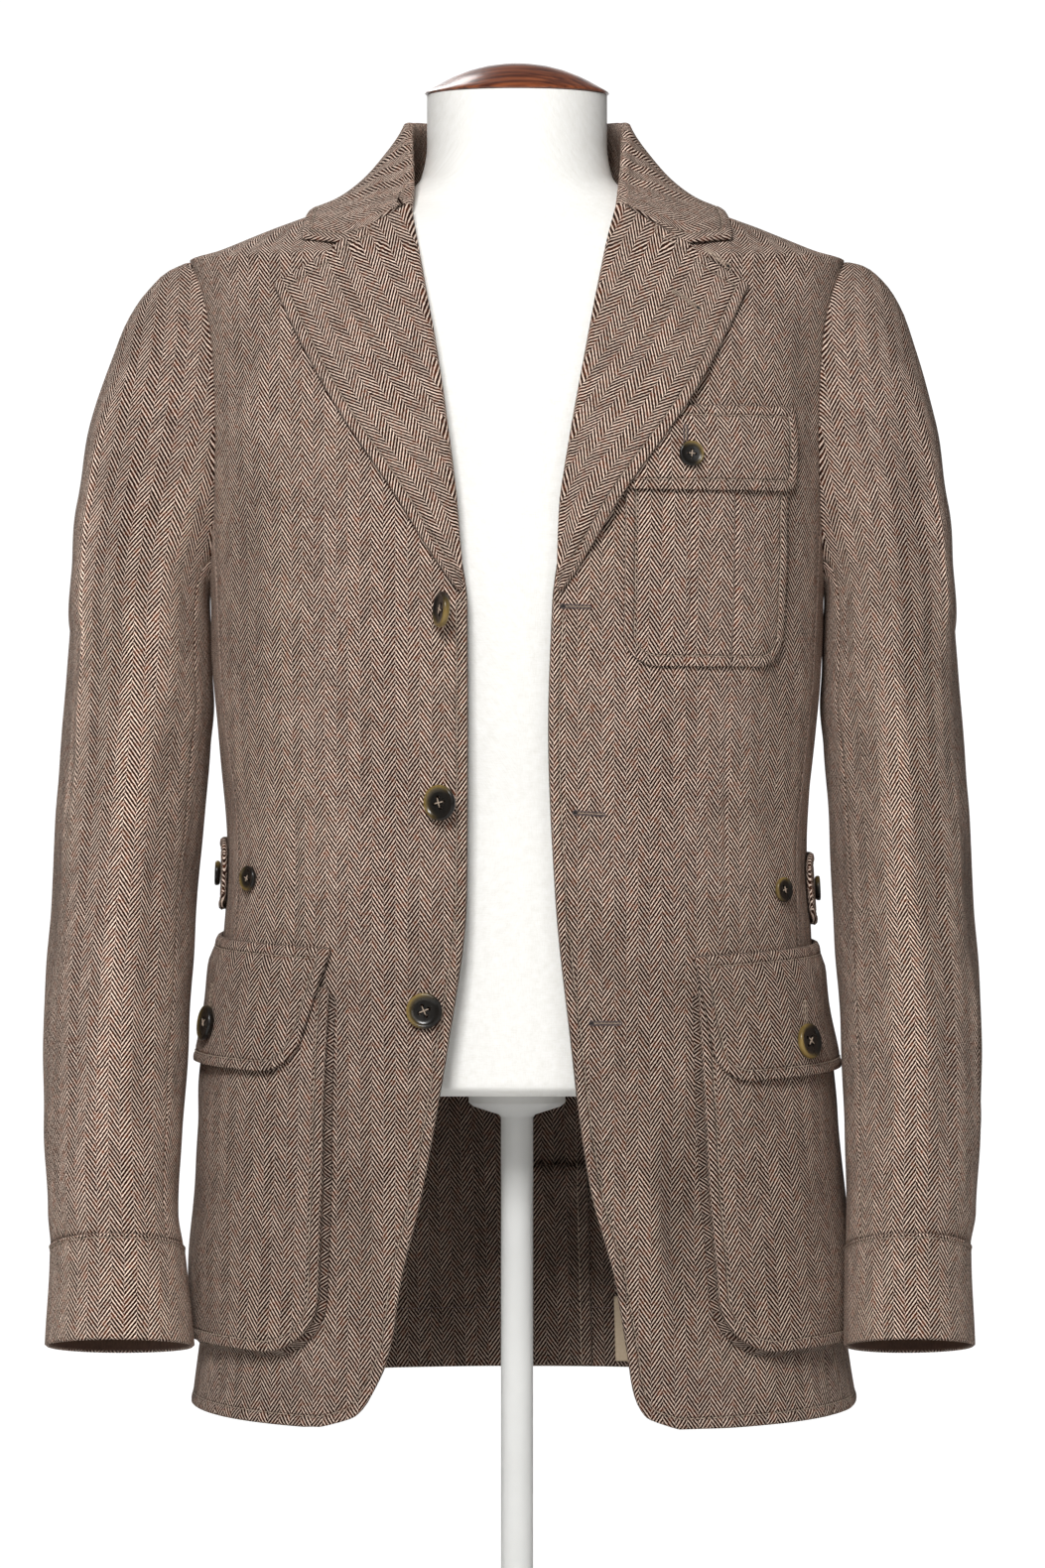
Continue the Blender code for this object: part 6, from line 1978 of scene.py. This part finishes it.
def make_form():
    make_torso()
    for node_name, profile, material, slot in (("form_cap", CAP_PROFILE, MAHOGANY, "mahogany"),
                                               ("form_pole", POLE_PROFILE, PAINT, "white_paint"),
                                               ("form_base", BASE_PROFILE, PAINT, "white_paint")):
        turned = turned_mesh(node_name, profile, 96)
        turned.set_sharp_from_angle(angle=math.radians(40))
        dress(add_piece(node_name + "_turned", turned, material), node_name, slot)


# Studio: a dim room, a white backdrop behind the jacket, and a floor that ends below the photograph's frame
ROOM_LIGHT = 0.13
BACKDROP_LIGHT = 1.1
BACKDROP_START, BACKDROP_FULL = 0.90, 0.97
FLOOR_RADIUS = 1.2
FLOOR_MIDDLE = (0, -0.8, 0)
LIGHT_TARGET = Vector((0, 0, 0.6))
LIGHTS = (
    # name, place, size, watts
    ("key_softbox", (-0.50, -2.8, 2.4), 0.9, 98),
    ("fill_softbox", (1.1, -3.6, 1.3), 1.4, 14),
    ("back_softbox", (-1.3, 2.6, 2.6), 1.4, 46),
)


def make_camera(scene):
    eye = bpy.data.cameras.new("photo_camera")
    eye.sensor_fit = "VERTICAL"
    eye.sensor_height = SENSOR_MM
    eye.lens = FOCAL_PIXELS * SENSOR_MM / PHOTO_HEIGHT
    eye.clip_end = 50
    scene.camera = link("photo_camera", eye)
    scene.camera.location = CAMERA_PLACE
    scene.camera.rotation_euler = (math.radians(90), 0, 0)


def make_studio():
    scene = bpy.context.scene
    scene.view_settings.view_transform = "Standard"
    make_camera(scene)
    scene.world = bpy.data.worlds.new("studio")
    scene.world.use_nodes = True
    tree = scene.world.node_tree
    place = node(tree, "ShaderNodeTexCoord").outputs["Generated"]
    way = node(tree, "ShaderNodeSeparateXYZ", {"Vector": place}).outputs["Y"]
    ramp = {"Value": way, "From Min": BACKDROP_START, "From Max": BACKDROP_FULL,
            "To Min": ROOM_LIGHT, "To Max": BACKDROP_LIGHT}
    bright = node(tree, "ShaderNodeMapRange", ramp, interpolation_type="SMOOTHSTEP").outputs[0]
    plug(tree, tree.nodes["Background"], {"Color": (1.0, 1.0, 1.0, 1.0), "Strength": bright})
    for name, place, size, watts in LIGHTS:
        light = bpy.data.lights.new(name, "AREA")
        light.size = size
        light.energy = watts
        lamp = link(name, light)
        lamp.location = place
        lamp.rotation_euler = (LIGHT_TARGET - Vector(place)).to_track_quat("-Z", "Y").to_euler()
    bm = bmesh.new()
    bmesh.ops.create_circle(bm, cap_ends=True, segments=96, radius=FLOOR_RADIUS,
                            matrix=Matrix.Translation(FLOOR_MIDDLE))
    add_piece("floor", into_mesh(bm, "floor"), make_paper())


make_studio()
make_form()
for side, word in ((-1, "right"), (1, "left")):
    for make in (make_front, make_side, make_back, make_lapel, make_sleeve, make_cuff, make_hip_pocket,
                 make_tab):
        make(side, word)
make_vent()
make_collar()
make_chest_pocket()
make_buttons()
make_buttonholes()
sew("edge_stitches", STITCHES, SEWING)
sew("felled_hem_stitches", FELLED_STITCHES, SILK)
